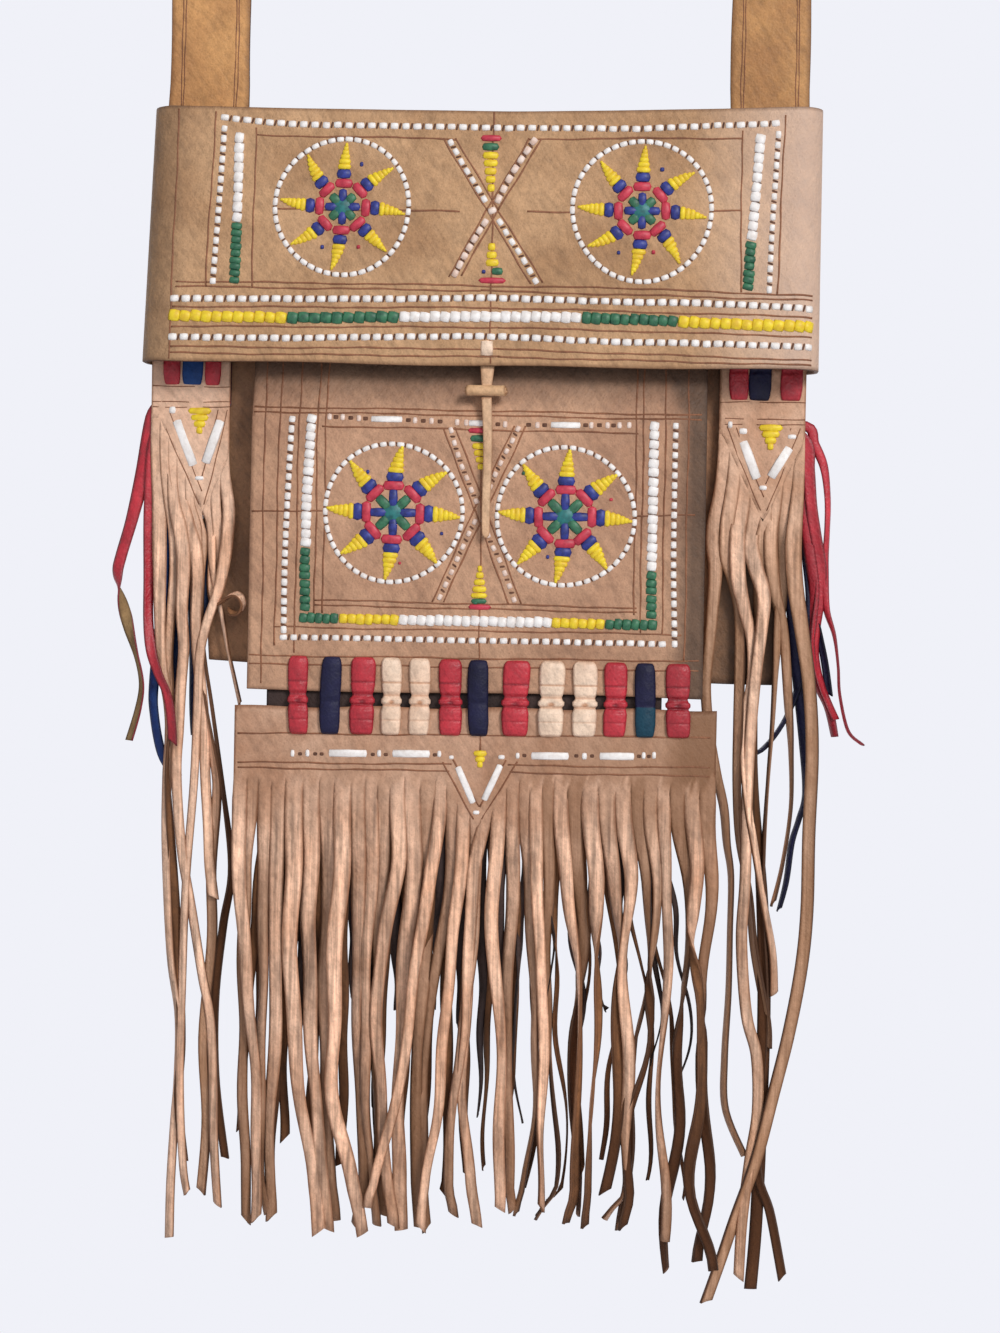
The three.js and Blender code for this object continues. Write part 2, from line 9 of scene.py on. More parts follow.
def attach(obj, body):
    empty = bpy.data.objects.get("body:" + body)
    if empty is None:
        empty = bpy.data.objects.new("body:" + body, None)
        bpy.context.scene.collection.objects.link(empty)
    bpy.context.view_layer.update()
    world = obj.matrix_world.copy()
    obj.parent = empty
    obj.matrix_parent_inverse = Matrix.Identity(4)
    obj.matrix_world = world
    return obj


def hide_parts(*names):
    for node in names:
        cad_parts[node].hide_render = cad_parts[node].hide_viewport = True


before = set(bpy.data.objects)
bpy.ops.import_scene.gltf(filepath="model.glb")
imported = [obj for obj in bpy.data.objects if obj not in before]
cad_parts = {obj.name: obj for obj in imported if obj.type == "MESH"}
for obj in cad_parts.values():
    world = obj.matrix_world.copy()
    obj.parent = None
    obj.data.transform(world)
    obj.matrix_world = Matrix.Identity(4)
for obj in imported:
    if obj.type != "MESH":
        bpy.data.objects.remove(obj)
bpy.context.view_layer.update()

# Where the bag is looked at from: it hangs by its strap, and the eye is a good metre in front of it, level
# with the pouch and a little to its right. Sizes are in millimetres from the middle of the cover's top edge.
STRAP_DROP = 464.7885  # from the underside of the strap's crown down to that edge


def place(x, y, z):
    return Vector((x, y, z - STRAP_DROP)) / 1000


eye = place(75.9, -1200, -225.6)
yaw, pitch, roll = math.radians(-3.11), math.radians(-1.19), math.radians(1.19)
ahead = Vector((math.sin(yaw) * math.cos(pitch), math.cos(yaw) * math.cos(pitch), math.sin(pitch)))
level = Vector((math.cos(yaw), -math.sin(yaw), 0))
over = level.cross(ahead)
rightward = level * math.cos(roll) + over * math.sin(roll)
upward = over * math.cos(roll) - level * math.sin(roll)
camera = bpy.data.objects.new("camera", bpy.data.cameras.new("camera"))
camera.data.sensor_width = 36
camera.data.lens = 71.7
camera.data.clip_start = 0.01
camera.matrix_world = Matrix.Translation(eye) @ Matrix((rightward, upward, -ahead)).transposed().to_4x4()
bpy.context.scene.collection.objects.link(camera)
bpy.context.scene.camera = camera

# The pouch's back panel: one piece of darker leather, cut wider than the pouch so that it shows at both
# sides. It hangs flat from the strap's lower ends, and its lower edge has stretched a little out of level.


def clamp(f):
    """A share, kept between 0 and 1."""
    return min(1.0, max(0.0, f))


def dye(red, green, blue):
    return tuple(((c / 255 + 0.055) / 1.055) ** 2.4 for c in (red, green, blue)) + (1.0,)


def node_tools(tree):
    """Two ways to build a shader: put sets a socket or links it, and node adds a node with its inputs."""
    def put(socket, value):
        if hasattr(value, "is_output"):
            tree.links.new(value, socket)
        else:
            socket.default_value = value

    def node(kind, inputs, **settings):
        added = tree.nodes.new("ShaderNode" + kind)
        for key, value in settings.items():
            setattr(added, key, value)
        for key, value in inputs.items():
            put(added.inputs[key], value)
        return added

    return put, node


def new_material(name):
    made = bpy.data.materials.new(name)
    made.use_nodes = True
    return made, made.node_tree.nodes["Principled BSDF"], *node_tools(made.node_tree)


def leather(name, pale, deep, cut, rough=0.56, streak=0.0, shine=0.3, creased=0.0014):
    """Tanned hide: cloudy colour, pores, creases and wrinkles, a darker rim, painted shade and painted glare.

    streak is how strongly pulled fibres show on a strip, and creased is how deep its creases are in metres.
    """
    hide, surface, put, node = new_material(name)
    spot = node("TexCoord", {}).outputs["Object"]

    def mixed(share, first, second, how="MIX"):
        return node("Mix", {0: share, 6: first, 7: second}, data_type="RGBA", blend_type=how).outputs[2]

    def ranged(value, low, high, start, end):
        return node("MapRange", {0: value, 1: low, 2: high, 3: start, 4: end}).outputs[0]

    def noise(vector, scale, detail, uneven):
        inputs = {"Vector": vector, "Scale": scale, "Detail": detail, "Roughness": uneven}
        return node("TexNoise", inputs).outputs[0]

    def leaning(grain, angle):
        turned = {"Vector": spot, "Scale": grain, "Rotation": (0.0, angle, 0.0)}
        return node("Mapping", turned, vector_type="TEXTURE").outputs[0]

    def kept(layer):
        return node("Attribute", {}, attribute_name=layer).outputs["Fac"]

    def bumped(height, strength, distance, **below):
        inputs = {"Height": height, "Strength": strength, "Distance": distance, **below}
        return node("Bump", inputs).outputs[0]

    def toned(shade, *shares):
        return tuple(c * share for c, share in zip(shade, shares)) + (1.0,)

    clouds = noise(spot, 26.0, 5.0, 0.6)
    mottle = noise(spot, 310.0, 5.0, 0.7)
    pores = node("TexVoronoi", {"Vector": spot, "Scale": 820.0}).outputs[0]
    creases = noise(leaning((0.0105, 0.0105, 0.029), 0.5), 1.0, 7.0, 0.7)
    wrinkles = noise(leaning((0.003, 0.003, 0.0125), -0.6), 1.0, 3.0, 0.55)
    colour = mixed(ranged(clouds, 0.36, 0.64, 0.0, 1.0), deep, pale)
    colour = mixed(1.0, colour, ranged(wrinkles, 0.3, 0.55, 0.83, 1.05), "MULTIPLY")
    colour = mixed(1.0, colour, ranged(mottle, 0.32, 0.68, 0.84, 1.14), "MULTIPLY")
    colour = mixed(ranged(pores, 0.0, 0.4, 0.26, 0.0), colour, toned(deep, 0.45, 0.45, 0.45))
    colour = mixed(ranged(creases, 0.34, 0.43, 0.22, 0.0), colour, toned(deep, 0.5, 0.5, 0.5))
    if streak:
        pulled = node("Mapping", {"Vector": spot, "Scale": (430.0, 430.0, 10.0)}).outputs[0]
        fibres = ranged(noise(pulled, 1.0, 4.0, 0.6), 0.34, 0.66, 1.0 - 0.5 * streak, 1.0 + 0.42 * streak)
        colour = mixed(kept("drawn"), colour, mixed(1.0, colour, fibres, "MULTIPLY"))
    # This mix paints a pale highlight over the colour, as strongly as a point asks for it.
    colour = mixed(kept("painted_glare"), colour, mixed(0.5, colour, dye(236, 208, 194)))
    # The tone attribute lightens or darkens the colour; on many pieces it paints shade and highlight.
    tone = kept("tone")
    # On a streaked hide, painted shade also turns browner.
    if streak:
        colour = mixed(ranged(tone, -1.2, -0.1, 0.8, 0.0), colour, toned(pale, 0.72, 0.52, 0.32))
    colour = mixed(ranged(kept("rim"), 0.3, 1.0, 0.0, 0.72), colour, cut)
    shade = node("Math", {0: tone, 1: 0.5, 2: 1.0}, operation="MULTIPLY_ADD").outputs[0]
    put(surface.inputs["Base Color"], mixed(1.0, colour, shade, "MULTIPLY"))
    put(surface.inputs["Roughness"], ranged(mottle, 0.3, 0.7, rough - 0.1, rough + 0.1))
    put(surface.inputs["Specular IOR Level"], shine)
    folds = bumped(creases, 0.7, creased)
    folds = bumped(wrinkles, 0.5, 0.0006, Normal=folds)
    put(surface.inputs["Normal"], bumped(pores, 0.32, 0.0004, Normal=folds))
    return hide


def all_round(v, across, down):
    return 1.0 if v.is_boundary else 0.0


def even(across, down):
    return 0.0


def cut_leather(columns, rows, shape, rim=all_round, tone=even):
    """A piece of leather with columns across and rows from the top down, bent to shape(across, down)."""
    sheet = bmesh.new()
    for shade in ("rim", "tone", "drawn", "painted_glare"):
        sheet.verts.layers.float.new(shade)
    add_leather(sheet, columns, rows, shape, rim, tone)
    return sheet


def add_leather(sheet, columns, rows, shape, rim, tone=even, drawn=even):
    darkening, toned, pulled = (sheet.verts.layers.float[shade] for shade in ("rim", "tone", "drawn"))
    grid = bmesh.ops.create_grid(sheet, x_segments=columns, y_segments=rows, size=0.5)["verts"]
    edge = {v: rim(v, v.co.x + 0.5, 0.5 - v.co.y) for v in grid}
    for v in grid:
        across, down = v.co.x + 0.5, 0.5 - v.co.y
        v[darkening], v[toned], v[pulled] = edge[v], tone(across, down), drawn(across, down)
        v.co = shape(across, down)


def fit(piece_mesh, name, finishes, body, kind, *stands_for):
    """The modelled piece goes into the row frame in metres, takes its finishes and rides on its body."""
    for face in piece_mesh.faces:
        face.smooth = True
    bmesh.ops.translate(piece_mesh, vec=(0, 0, -STRAP_DROP), verts=piece_mesh.verts)
    bmesh.ops.scale(piece_mesh, vec=(0.001, 0.001, 0.001), verts=piece_mesh.verts)
    mesh = bpy.data.meshes.new(name)
    piece_mesh.to_mesh(mesh)
    piece_mesh.free()
    for finish in finishes:
        mesh.materials.append(finish)
    piece = bpy.data.objects.new(name, mesh)
    bpy.context.scene.collection.objects.link(piece)
    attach(piece, body)
    if stands_for:
        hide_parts(*stands_for)
    return piece


def thicken(piece, thick, round_off=0.35, side=-1.0):
    """Leather that thick behind its grain face, with its own finishes for the flesh side and the cut edge."""
    wall = piece.modifiers.new("thickness", "SOLIDIFY")
    wall.thickness = thick / 1000
    wall.offset = side
    wall.use_even_offset = True
    wall.material_offset = 1
    wall.material_offset_rim = 2
    if round_off:
        soft = piece.modifiers.new("soft edge", "BEVEL")
        soft.width = round_off / 1000
        soft.segments = 2
        soft.limit_method = "ANGLE"
        soft.angle_limit = math.radians(50)


BACK_HALF, BACK_DEEP, BACK_FACE, POUCH_TOP = 131.0, 247.0, 1.8, -6.0
brown_hide = leather("brown_leather", dye(178, 132, 98), dye(136, 98, 72), dye(72, 48, 36))
brown_flesh = leather("brown_flesh_side", dye(120, 92, 70), dye(88, 66, 50), dye(60, 42, 32), rough=0.8)
brown_cut = leather("brown_cut_edge", dye(70, 48, 36), dye(48, 33, 25), dye(40, 28, 22), rough=0.65)


def back_panel(across, down):
    half_left = BACK_HALF - 8.5 * down**2
    half_right = BACK_HALF + 4.5 * down
    x = -half_left + (half_left + half_right) * across
    z = POUCH_TOP - (BACK_DEEP + 0.022 * x + 0.9 * math.sin(across * 9)) * down
    free = clamp((down - 0.45) / 0.55)
    belly = 1.9 * math.sin(math.pi * free) * (1 - (x / 140) ** 2)
    return Vector((x, BACK_FACE + belly + 0.35 * free * math.sin(x * 0.09 + down * 5), z))


def back_painted_shade(across, down):
    """Painted shade along its right side, behind the right tassel."""
    return -1.25 * clamp((across - 0.86) / 0.05)


brown_finishes = [brown_hide, brown_flesh, brown_cut]
panel = cut_leather(52, 50, back_panel, tone=back_painted_shade)
thicken(fit(panel, "pouch_back", brown_finishes, "bag", "brown_leather", "pouch_back_panel"), 2.0)

# The gusset: a strip of the same brown leather that runs down one side of the pouch, under it and up the
# other. It holds the front panel off the back one, and its middle draws in a little between its two seams.
GUSSET_HALF, GUSSET_BOTTOM, GUSSET_CORNER = 100.0, -246.0, 10.0


def eased(f):
    """A share that is kept between 0 and 1 and changes softly at both ends."""
    f = clamp(f)
    return f * f * (3 - 2 * f)


def mouth_closes(z):
    """How far the front panel lies back towards the other at a height: the pouch is flat at its mouth."""
    return 7.5 * eased((z + 148) / 34)


def gusset(across, down):
    side_run, arc = POUCH_TOP - GUSSET_BOTTOM - GUSSET_CORNER, math.pi / 2 * GUSSET_CORNER
    floor_run = 2 * (GUSSET_HALF - GUSSET_CORNER)
    whole_run = 2 * side_run + 2 * arc + floor_run
    run = across * whole_run
    mirrored = run > whole_run / 2
    run = whole_run - run if mirrored else run
    if run < side_run:
        x, z, out = -GUSSET_HALF, POUCH_TOP - run, Vector((-1, 0, 0))
    elif run < side_run + arc:
        turn = (run - side_run) / GUSSET_CORNER
        out = Vector((-math.cos(turn), 0, -math.sin(turn)))
        x = -GUSSET_HALF + GUSSET_CORNER * (1 + out.x)
        z = GUSSET_BOTTOM + GUSSET_CORNER * (1 + out.z)
    else:
        x, z = -GUSSET_HALF + GUSSET_CORNER + run - side_run - arc, GUSSET_BOTTOM
        out = Vector((0, 0, -1))
    draw = 3.2 * math.sin(math.pi * down) * (0.75 + 0.25 * math.sin(run * 0.06))
    spot = Vector((x, 1.5 - (18 - mouth_closes(z)) * (1 - down), z)) - out * draw
    return Vector((-spot.x, spot.y, spot.z)) if mirrored else spot


band = fit(cut_leather(150, 8, gusset), "pouch_gusset_band", brown_finishes, "bag", "brown_leather",
           "pouch_gusset")
thicken(band, 2.0, round_off=0.0)

# The pouch's front panel: tan leather, sewn to the gusset, a little full over what the pouch holds.
# Straight lines are pressed into it with a hot tool, to lay out the laced pattern.
tan_hide = leather("tan_leather", dye(201, 157, 127), dye(178, 135, 108), dye(98, 64, 44), creased=0.0024)
tan_flesh = leather("tan_flesh_side", dye(186, 148, 112), dye(150, 112, 80), dye(104, 72, 50), rough=0.82)
tan_cut = leather("tan_cut_edge", dye(142, 100, 70), dye(110, 74, 50), dye(84, 56, 40), rough=0.62)
pressed_line = leather("pressed_line", dye(152, 102, 74), dye(124, 80, 56), dye(100, 64, 46), rough=0.5)
POUCH_FACE, POUCH_DEEP = -18.8, 256.0


def pouch_skin(x, z):
    down = clamp((POUCH_TOP - z) / POUCH_DEEP)
    full = 1.5 * max(0.0, 1 - (x / 101) ** 2) * math.sin(math.pi * down) ** 1.5
    lie = 0.22 * math.sin(x * 0.085 + 1) * math.sin(z * 0.06) + 0.18 * math.sin(x * 0.05 - z * 0.045)
    return Vector((x, POUCH_FACE - full + lie + mouth_closes(z), z))


def front_panel(across, down):
    x = -101.8 + (203.8 - 1.2 * (1 - down)) * across
    return pouch_skin(x, POUCH_TOP - (POUCH_DEEP + 0.6 + 0.5 * math.sin(across * 7)) * down)


def front_painted_shade(across, down):
    """Painted shade along its right margin and under the cover; a little paler on its left and darker at its
    bottom.
    """
    shaded_tone = -1.6 * clamp((across - 0.915) / 0.06) - 1.5 * clamp((0.51 - down) / 0.075)
    return max(-1.5, shaded_tone + 0.1 * max(0.0, 1 - across / 0.3) - 0.2 * clamp((down - 0.88) / 0.06))


panel = cut_leather(72, 110, front_panel, tone=front_painted_shade)
tan_finishes = [tan_hide, tan_flesh, tan_cut]
thicken(fit(panel, "pouch_front", tan_finishes, "bag", "tan_leather", "pouch_front_panel"), 2.0)


def outward(skin, x, z):
    return (skin(x + 0.4, z) - skin(x - 0.4, z)).cross(skin(x, z + 0.4) - skin(x, z - 0.4)).normalized()


def vary(seed):
    """An uneven share between 0 and 1, the same each time for a seed."""
    return math.modf(abs(math.sin(seed * 12.9898) * 43758.5453))[0]


def press_line(lines, skin, start, end, wide, seed):
    """One pressed line from start to end on a skin, with the small waver of a hand."""
    run = math.dist(start, end)
    steps = max(4, int(run / 2))
    dx, dz = (end[0] - start[0]) / run, (end[1] - start[1]) / run
    bar = bmesh.ops.create_cube(lines, size=1.0)["verts"]
    long_edges = {e for v in bar for e in v.link_edges if abs(e.verts[0].co.x - e.verts[1].co.x) > 0.5}
    bmesh.ops.subdivide_edges(lines, edges=list(long_edges), cuts=steps - 1)
    for v in [v for v in lines.verts if not v.tag]:
        v.tag = True
        t = v.co.x + 0.5
        waver = 0.22 * math.sin(t * run * 0.09 + seed * 7) + 0.12 * math.sin(t * run * 0.31 + seed * 3)
        slack = 0.8 + 0.4 * vary(seed + round(t * steps / 3))
        aside = v.co.y * wide * slack + waver
        x, z = start[0] + dx * run * t - dz * aside, start[1] + dz * run * t + dx * aside
        v.co = skin(x, z) + outward(skin, x, z) * (0.08 if v.co.z > 0 else -0.3)


def press_lines(name, skin, body, wide, seed, runs):
    """All the lines of one piece of leather, each from a start to an end."""
    lines = bmesh.new()
    for number, (start, end) in enumerate(runs):
        press_line(lines, skin, start, end, wide, number + seed)
    fit(lines, name, [pressed_line], body, "tan_leather")


press_lines("pouch_pressed_lines", pouch_skin, "bag", wide=0.75, seed=0.3, runs=[
    ((-96.4, -8), (-95.3, -260)), ((-88.6, -8), (-89.6, -243)), ((-80, -8), (-80.6, -246)),
    ((-71.6, -8), (-72, -228)), ((-68, -8), (-68.2, -228)), ((69.6, -8), (70.7, -226)),
    ((73, -8), (73.6, -234)), ((82.6, -8), (83.4, -234)), ((92.6, -8), (93.6, -246)),
    ((-101, -136.3), (99, -136.9)), ((-101, -138.5), (99, -139)), ((-70, -144.6), (71, -145.6)),
    ((-101, -182.8), (-69, -182.6)), ((70.5, -182), (97, -181.2)), ((-72, -222.2), (72, -222.9)),
    ((-72, -224.6), (72, -224.9)), ((-90, -234.6), (92, -234.3)), ((-101, -247.6), (100, -246)),
    ((-101, -251.2), (100, -250.4)), ((1.4, -143), (2.6, -261)), ((-15.4, -144.4), (-1.2, -181)),
    ((-1.2, -181), (-19.4, -222)), ((-10.2, -144), (4.0, -180.6)), ((4.0, -180.6), (20.6, -222)),
    ((21, -143), (4.2, -181)), ((15.8, -143), (-1.0, -180.4)), ((-1.0, -180.4), (15.2, -222.4)),
    ((4.2, -181), (-14.2, -222)),
])

# The pouch's pattern: narrow strips of white, yellow, green, red and blue leather, laced in and out through
# slits. Only the short bits on top of the panel show, each a small soft pillow between two dark slits.


def lace(name, pale, deep, rough=0.45):
    """A thin coat of dye with a fine cloud between its two shades."""
    strip, surface, put, node = new_material(name)
    spot = node("TexCoord", {}).outputs["Object"]
    cloud = node("TexNoise", {"Vector": spot, "Scale": 420, "Detail": 4}).outputs[0]
    ramp = node("ValToRGB", {0: cloud})
    for stop, position, colour in zip(ramp.color_ramp.elements, (0.32, 0.62), (deep, pale)):
        stop.position, stop.color = position, colour
    bump = node("Bump", {"Height": cloud, "Strength": 0.3, "Distance": 0.0004})
    put(surface.inputs["Base Color"], ramp.outputs[0])
    put(surface.inputs["Roughness"], rough)
    put(surface.inputs["Specular IOR Level"], 0.4)
    put(surface.inputs["Normal"], bump.outputs[0])
    return strip


white_lace = lace("white_lace", dye(252, 248, 247), dye(234, 226, 222))
pink_lace = lace("unbleached_lace", dye(244, 224, 214), dye(222, 190, 174))
yellow_lace = lace("yellow_lace", dye(244, 216, 48), dye(226, 186, 50))
green_lace = lace("green_lace", dye(58, 116, 84), dye(34, 80, 60))
red_lace = lace("red_lace", dye(206, 62, 82), dye(172, 44, 64))
blue_lace = lace("blue_lace", dye(48, 60, 144), dye(30, 36, 96))
teal_lace = lace("teal_lace", dye(40, 118, 118), dye(28, 88, 90))
slit_shadow = lace("slit_shadow", dye(108, 72, 54), dye(76, 49, 37), rough=0.8)
WHITE_LACES = [white_lace, pink_lace, slit_shadow]
WHITE, PINK, SLIT = 0, 1, 2
COLOURED_LACES = [yellow_lace, green_lace, red_lace, blue_lace, teal_lace]
YELLOW, GREEN, RED, BLUE, TEAL = 0, 1, 2, 3, 4
# How square a bit is across and along. In a broad row the bits lie side by side, with no slits between them.
BLOCK, FLAT_BAR = (0.3, 0.45), (0.2, 0.15)
BROAD = dict(high=0.8, slits=False, across=True)
one_stitch = bpy.data.meshes.new("one_stitch")


def sort_number(spot):
    """A number to sort a bit's points and faces by, so that their order is the same in each run."""
    return 100 * spot.z + 10 * spot.y + spot.x


def stitch(laced, skin, x, z, turn, long, wide, high=0.75, finish=0, blunt=0.42, square=0.7):
    """One bit of lace on top of a skin: a closed pillow, long along turn, sunk at its ends."""
    pillow = bmesh.new()
    bmesh.ops.create_uvsphere(pillow, u_segments=8, v_segments=4, radius=1.0)
    pillow.verts.sort(key=lambda v: sort_number(v.co))
    pillow.faces.sort(key=lambda face: sort_number(face.calc_center_median()))
    out = outward(skin, x, z)
    c, s = math.cos(turn), math.sin(turn)
    for v in pillow.verts:
        girth = math.hypot(v.co.x, v.co.y)
        full = girth**blunt / girth if girth > 1e-6 else 0.0
        a = math.copysign(abs(v.co.z) ** square, v.co.z) * long / 2
        b, h = v.co.y * full * wide / 2, -v.co.x * full * high
        px, pz = x + a * c - b * s, z + a * s + b * c
        v.co = skin(px, pz) + out * h
    for face in pillow.faces:
        face.material_index = finish
    pillow.to_mesh(one_stitch)
    pillow.free()
    laced.from_mesh(one_stitch, face_normals=False, vertex_normals=False)


def smooth_line(points, t):
    """A point at t, from 0 to 1, on the smooth line through evenly spaced points."""
    last = len(points) - 1
    f = min(max(t, 0.0), 1.0) * last
    i = min(int(f), last - 1)
    f -= i
    a, b, c, d = points[max(i - 1, 0)], points[i], points[i + 1], points[min(i + 2, last)]
    return 0.5 * (2 * b + (c - a) * f + (2 * a - 5 * b + 4 * c - d) * f**2 + (3 * b - a - 3 * c + d) * f**3)


def lace_row(laced, skin, points, count, long, wide, high=0.65, finish=0, slits=True, seed=0.0,
             across=False):
    """A row of bits along a smooth line. across lays each bit across the row, as in the broad rows."""
    spots = [Vector(p) for p in points]
    marks = [smooth_line(spots, i / (4 * count)) for i in range(4 * count + 1)]
    runs = [0.0]
    for a, b in zip(marks, marks[1:]):
        runs.append(runs[-1] + (b - a).length)

    def at(run):
        i = max(j for j in range(len(runs) - 1) if runs[j] <= run)
        share = (run - runs[i]) / (runs[i + 1] - runs[i])
        return marks[i].lerp(marks[i + 1], share), marks[i + 1] - marks[i]

    step = runs[-1] / count
    for i in range(count):
        spot, way = at((i + 0.5) * step)
        turn = math.atan2(way.y, way.x) + 0.16 * (vary(seed + i + 0.21) - 0.5)
        size = 0.92 + 0.16 * vary(seed + i + 0.47)
        lean = turn + (math.pi / 2 - 0.14 if across else 0)
        nudge = 0.35 * (vary(seed + i + 0.83) - 0.5)
        broad = wide * (0.94 + 0.12 * vary(seed + i))
        stitch(laced, skin, spot.x, spot.y + nudge, lean, long * size, broad, high, finish, *BLOCK)
        if slits and i:
            spot, way = at(i * step)
            lean = math.atan2(way.y, way.x) + math.pi / 2 - 0.25
            stitch(laced, skin, spot.x, spot.y, lean, (long if across else wide) * 1.05, 1.0, high=0.1,
                   finish=SLIT)


def lace_rows(laced, skin, rows, **look):
    for seed, points, count, long, wide in rows:
        lace_row(laced, skin, points, count, long, wide, seed=seed, **look)


def lace_bar(laced, skin, start, end, wide):
    """One long flat white bit between two points."""
    x, z = (start[0] + end[0]) / 2, (start[1] + end[1]) / 2
    turn = math.atan2(end[1] - start[1], end[0] - start[0])
    stitch(laced, skin, x, z, turn, math.dist(start, end), wide, 0.4, WHITE, *FLAT_BAR)


def round_spot(x, z, radius, turn):
    return x + radius * math.cos(turn), z + radius * math.sin(turn)


def lace_ring(laced, skin, x, z, radius, count, long, wide, seed):
    for i in range(count):
        turn = (i + 0.5) / count * math.tau
        wobble = radius + 0.35 * math.sin(3 * turn + seed)
        size = 0.92 + 0.18 * vary(seed + i)
        ahead = turn + math.pi / 2
        stitch(laced, skin, *round_spot(x, z, wobble, turn), ahead, long * size, wide, 0.65, WHITE, *BLOCK)
        gap = i / count * math.tau
        stitch(laced, skin, *round_spot(x, z, wobble, gap), gap + 0.2, wide * 0.95, 0.7, high=0.1,
               finish=SLIT)


# A ray's bits from foot to point: how far out each lies and how long it is, as shares of the star's reach.
RAY = [(0.645, 0.245), (0.725, 0.21), (0.8, 0.17), (0.87, 0.13), (0.93, 0.09), (0.98, 0.05)]


def lace_star(laced, skin, x, z, reach, rays, seed, broad):
    """Eight petals round a middle, a red and a blue ring of bits, and yellow rays that narrow to a point.

    rays are the ways of the rays' points in degrees, and broad is how broad the middle is for its reach.
    """
    def bit(radius, way, long, wide, finish, radial=False, high=0.85):
        turn = math.radians(way)
        lie = turn if radial else turn + math.pi / 2
        stitch(laced, skin, *round_spot(x, z, radius, turn), lie, long, wide, high, finish)

    petal = broad * broad * reach
    for k in range(8):
        if k % 2 == 0:
            bit(0.2 * petal, 45 * k, 0.265 * petal, 0.14 * reach, BLUE, radial=True)
        else:
            bit(0.19 * petal, 45 * k, 0.25 * petal, 0.155 * reach, GREEN, radial=True, high=0.75)
    bit(0.0, 20, 0.3 * reach, 0.28 * reach, TEAL, radial=True, high=0.9)
    for k, ray in enumerate(rays):
        base = 90 - 45 * k
        lean = ray - base
        red_out = (0.12 + 0.27 * broad + 0.01 * vary(seed + k)) * reach
        red_way = base + 0.1 * lean + 5 * (vary(seed + 2 * k) - 0.5)
        bit(red_out, red_way, 0.32 * broad * reach, 0.155 * reach, RED)
        bit((0.41 + 0.125 * broad) * reach, base + 0.3 * lean, 0.26 * broad * reach, 0.16 * reach, BLUE)
        for j, (far, long) in enumerate(RAY):
            long *= broad * (0.94 + 0.12 * vary(seed + k + j))
            bit(far * reach, base + lean * (0.45 + 0.55 * j / 5), long * reach, 0.1 * reach, YELLOW)


white = bmesh.new()
lace_rows(white, pouch_skin, [
    (1, [(-83.5, -139.6), (-84.6, -168), (-85.6, -202), (-85.6, -238)], 23, 3.2, 2.9),
    (2, [(-88, -239.2), (-53.5, -238.9), (-10, -238.9), (32, -238.7), (86, -238.6)], 37, 3.2, 2.8),
    (3, [(87.5, -139.6), (87.6, -175), (87.9, -205), (89.2, -240.6)], 23, 3.0, 2.7),
])
lace_rows(white, pouch_skin, [
    (4, [(-74.7, -139.4), (-75.4, -157.4), (-76.3, -178), (-76.3, -198.4)], 15, 4.7, 4.2),
    (5, [(78.1, -140), (78.1, -160), (78.2, -184), (78.2, -206.2)], 16, 4.6, 4.4),
], high=0.8, across=True)
lace_rows(white, pouch_skin, [
    (6, [(-34, -230.4), (-10, -230.2), (12, -230.2), (34.3, -230.1)], 17, 4.8, 4.4),
], **BROAD)
lace_ring(white, pouch_skin, -37.4, -182.6, radius=30.7, count=49, long=3.2, wide=2.3, seed=1)
lace_ring(white, pouch_skin, 39.3, -183, radius=30.6, count=49, long=3.2, wide=2.3, seed=2)
for seed, arm in enumerate([
    [(-12.9, -143), (-8.8, -156.7), (-3.6, -169.5), (0.8, -179.4)],
    [(2.4, -183), (5.6, -192.9), (12, -206.1), (18.4, -223)],
    [(18.8, -141.8), (14.2, -151.6), (9.7, -160.6), (2.6, -178)],
    [(0.4, -183), (-3.9, -192.5), (-9.2, -204.8), (-17, -222.6)],
]):
    lace_row(white, pouch_skin, arm, count=7, long=2.7, wide=2.3, high=0.6, finish=PINK, seed=10 + seed)
for x, z in [(-66.8, -140.3), (-60.9, -140.4), (-53.6, -140.8), (-28.4, -141.4), (-21.1, -141.5),
             (-9.6, -141.9), (-5.5, -142), (11.8, -142.5), (26.2, -142.5), (50.1, -142.2), (57.3, -142.1),
             (62.6, -142), (66.9, -141.9)]:
    stitch(white, pouch_skin, x, z, math.pi / 2, long=3.0, wide=2.2, high=0.6, finish=PINK)
for x, z in [(-63.9, -140.4), (-57.2, -140.7), (-50.6, -140.9), (-31.4, -141.3), (-24.7, -141.5),
             (-17.2, -141.7), (8.6, -142.5), (22.3, -142.5), (29.4, -142.5), (47.6, -142.2), (53.7, -142.1),
             (60, -142.1)]:
    stitch(white, pouch_skin, x, z, 0.02, long=2.3, wide=1.8, high=0.1, finish=SLIT, blunt=0.3, square=0.4)
for start, end, z in [(-48.2, -34, -141), (-4.4, 4.6, -142.2), (32, 45.4, -142.3)]:
    lace_bar(white, pouch_skin, (start, z), (end, z), wide=2.9)
fit(white, "pouch_white_lacing", WHITE_LACES, "bag", "white_lace", "pouch_ring_left", "pouch_ring_right",
    "pouch_cross", "pouch_border")

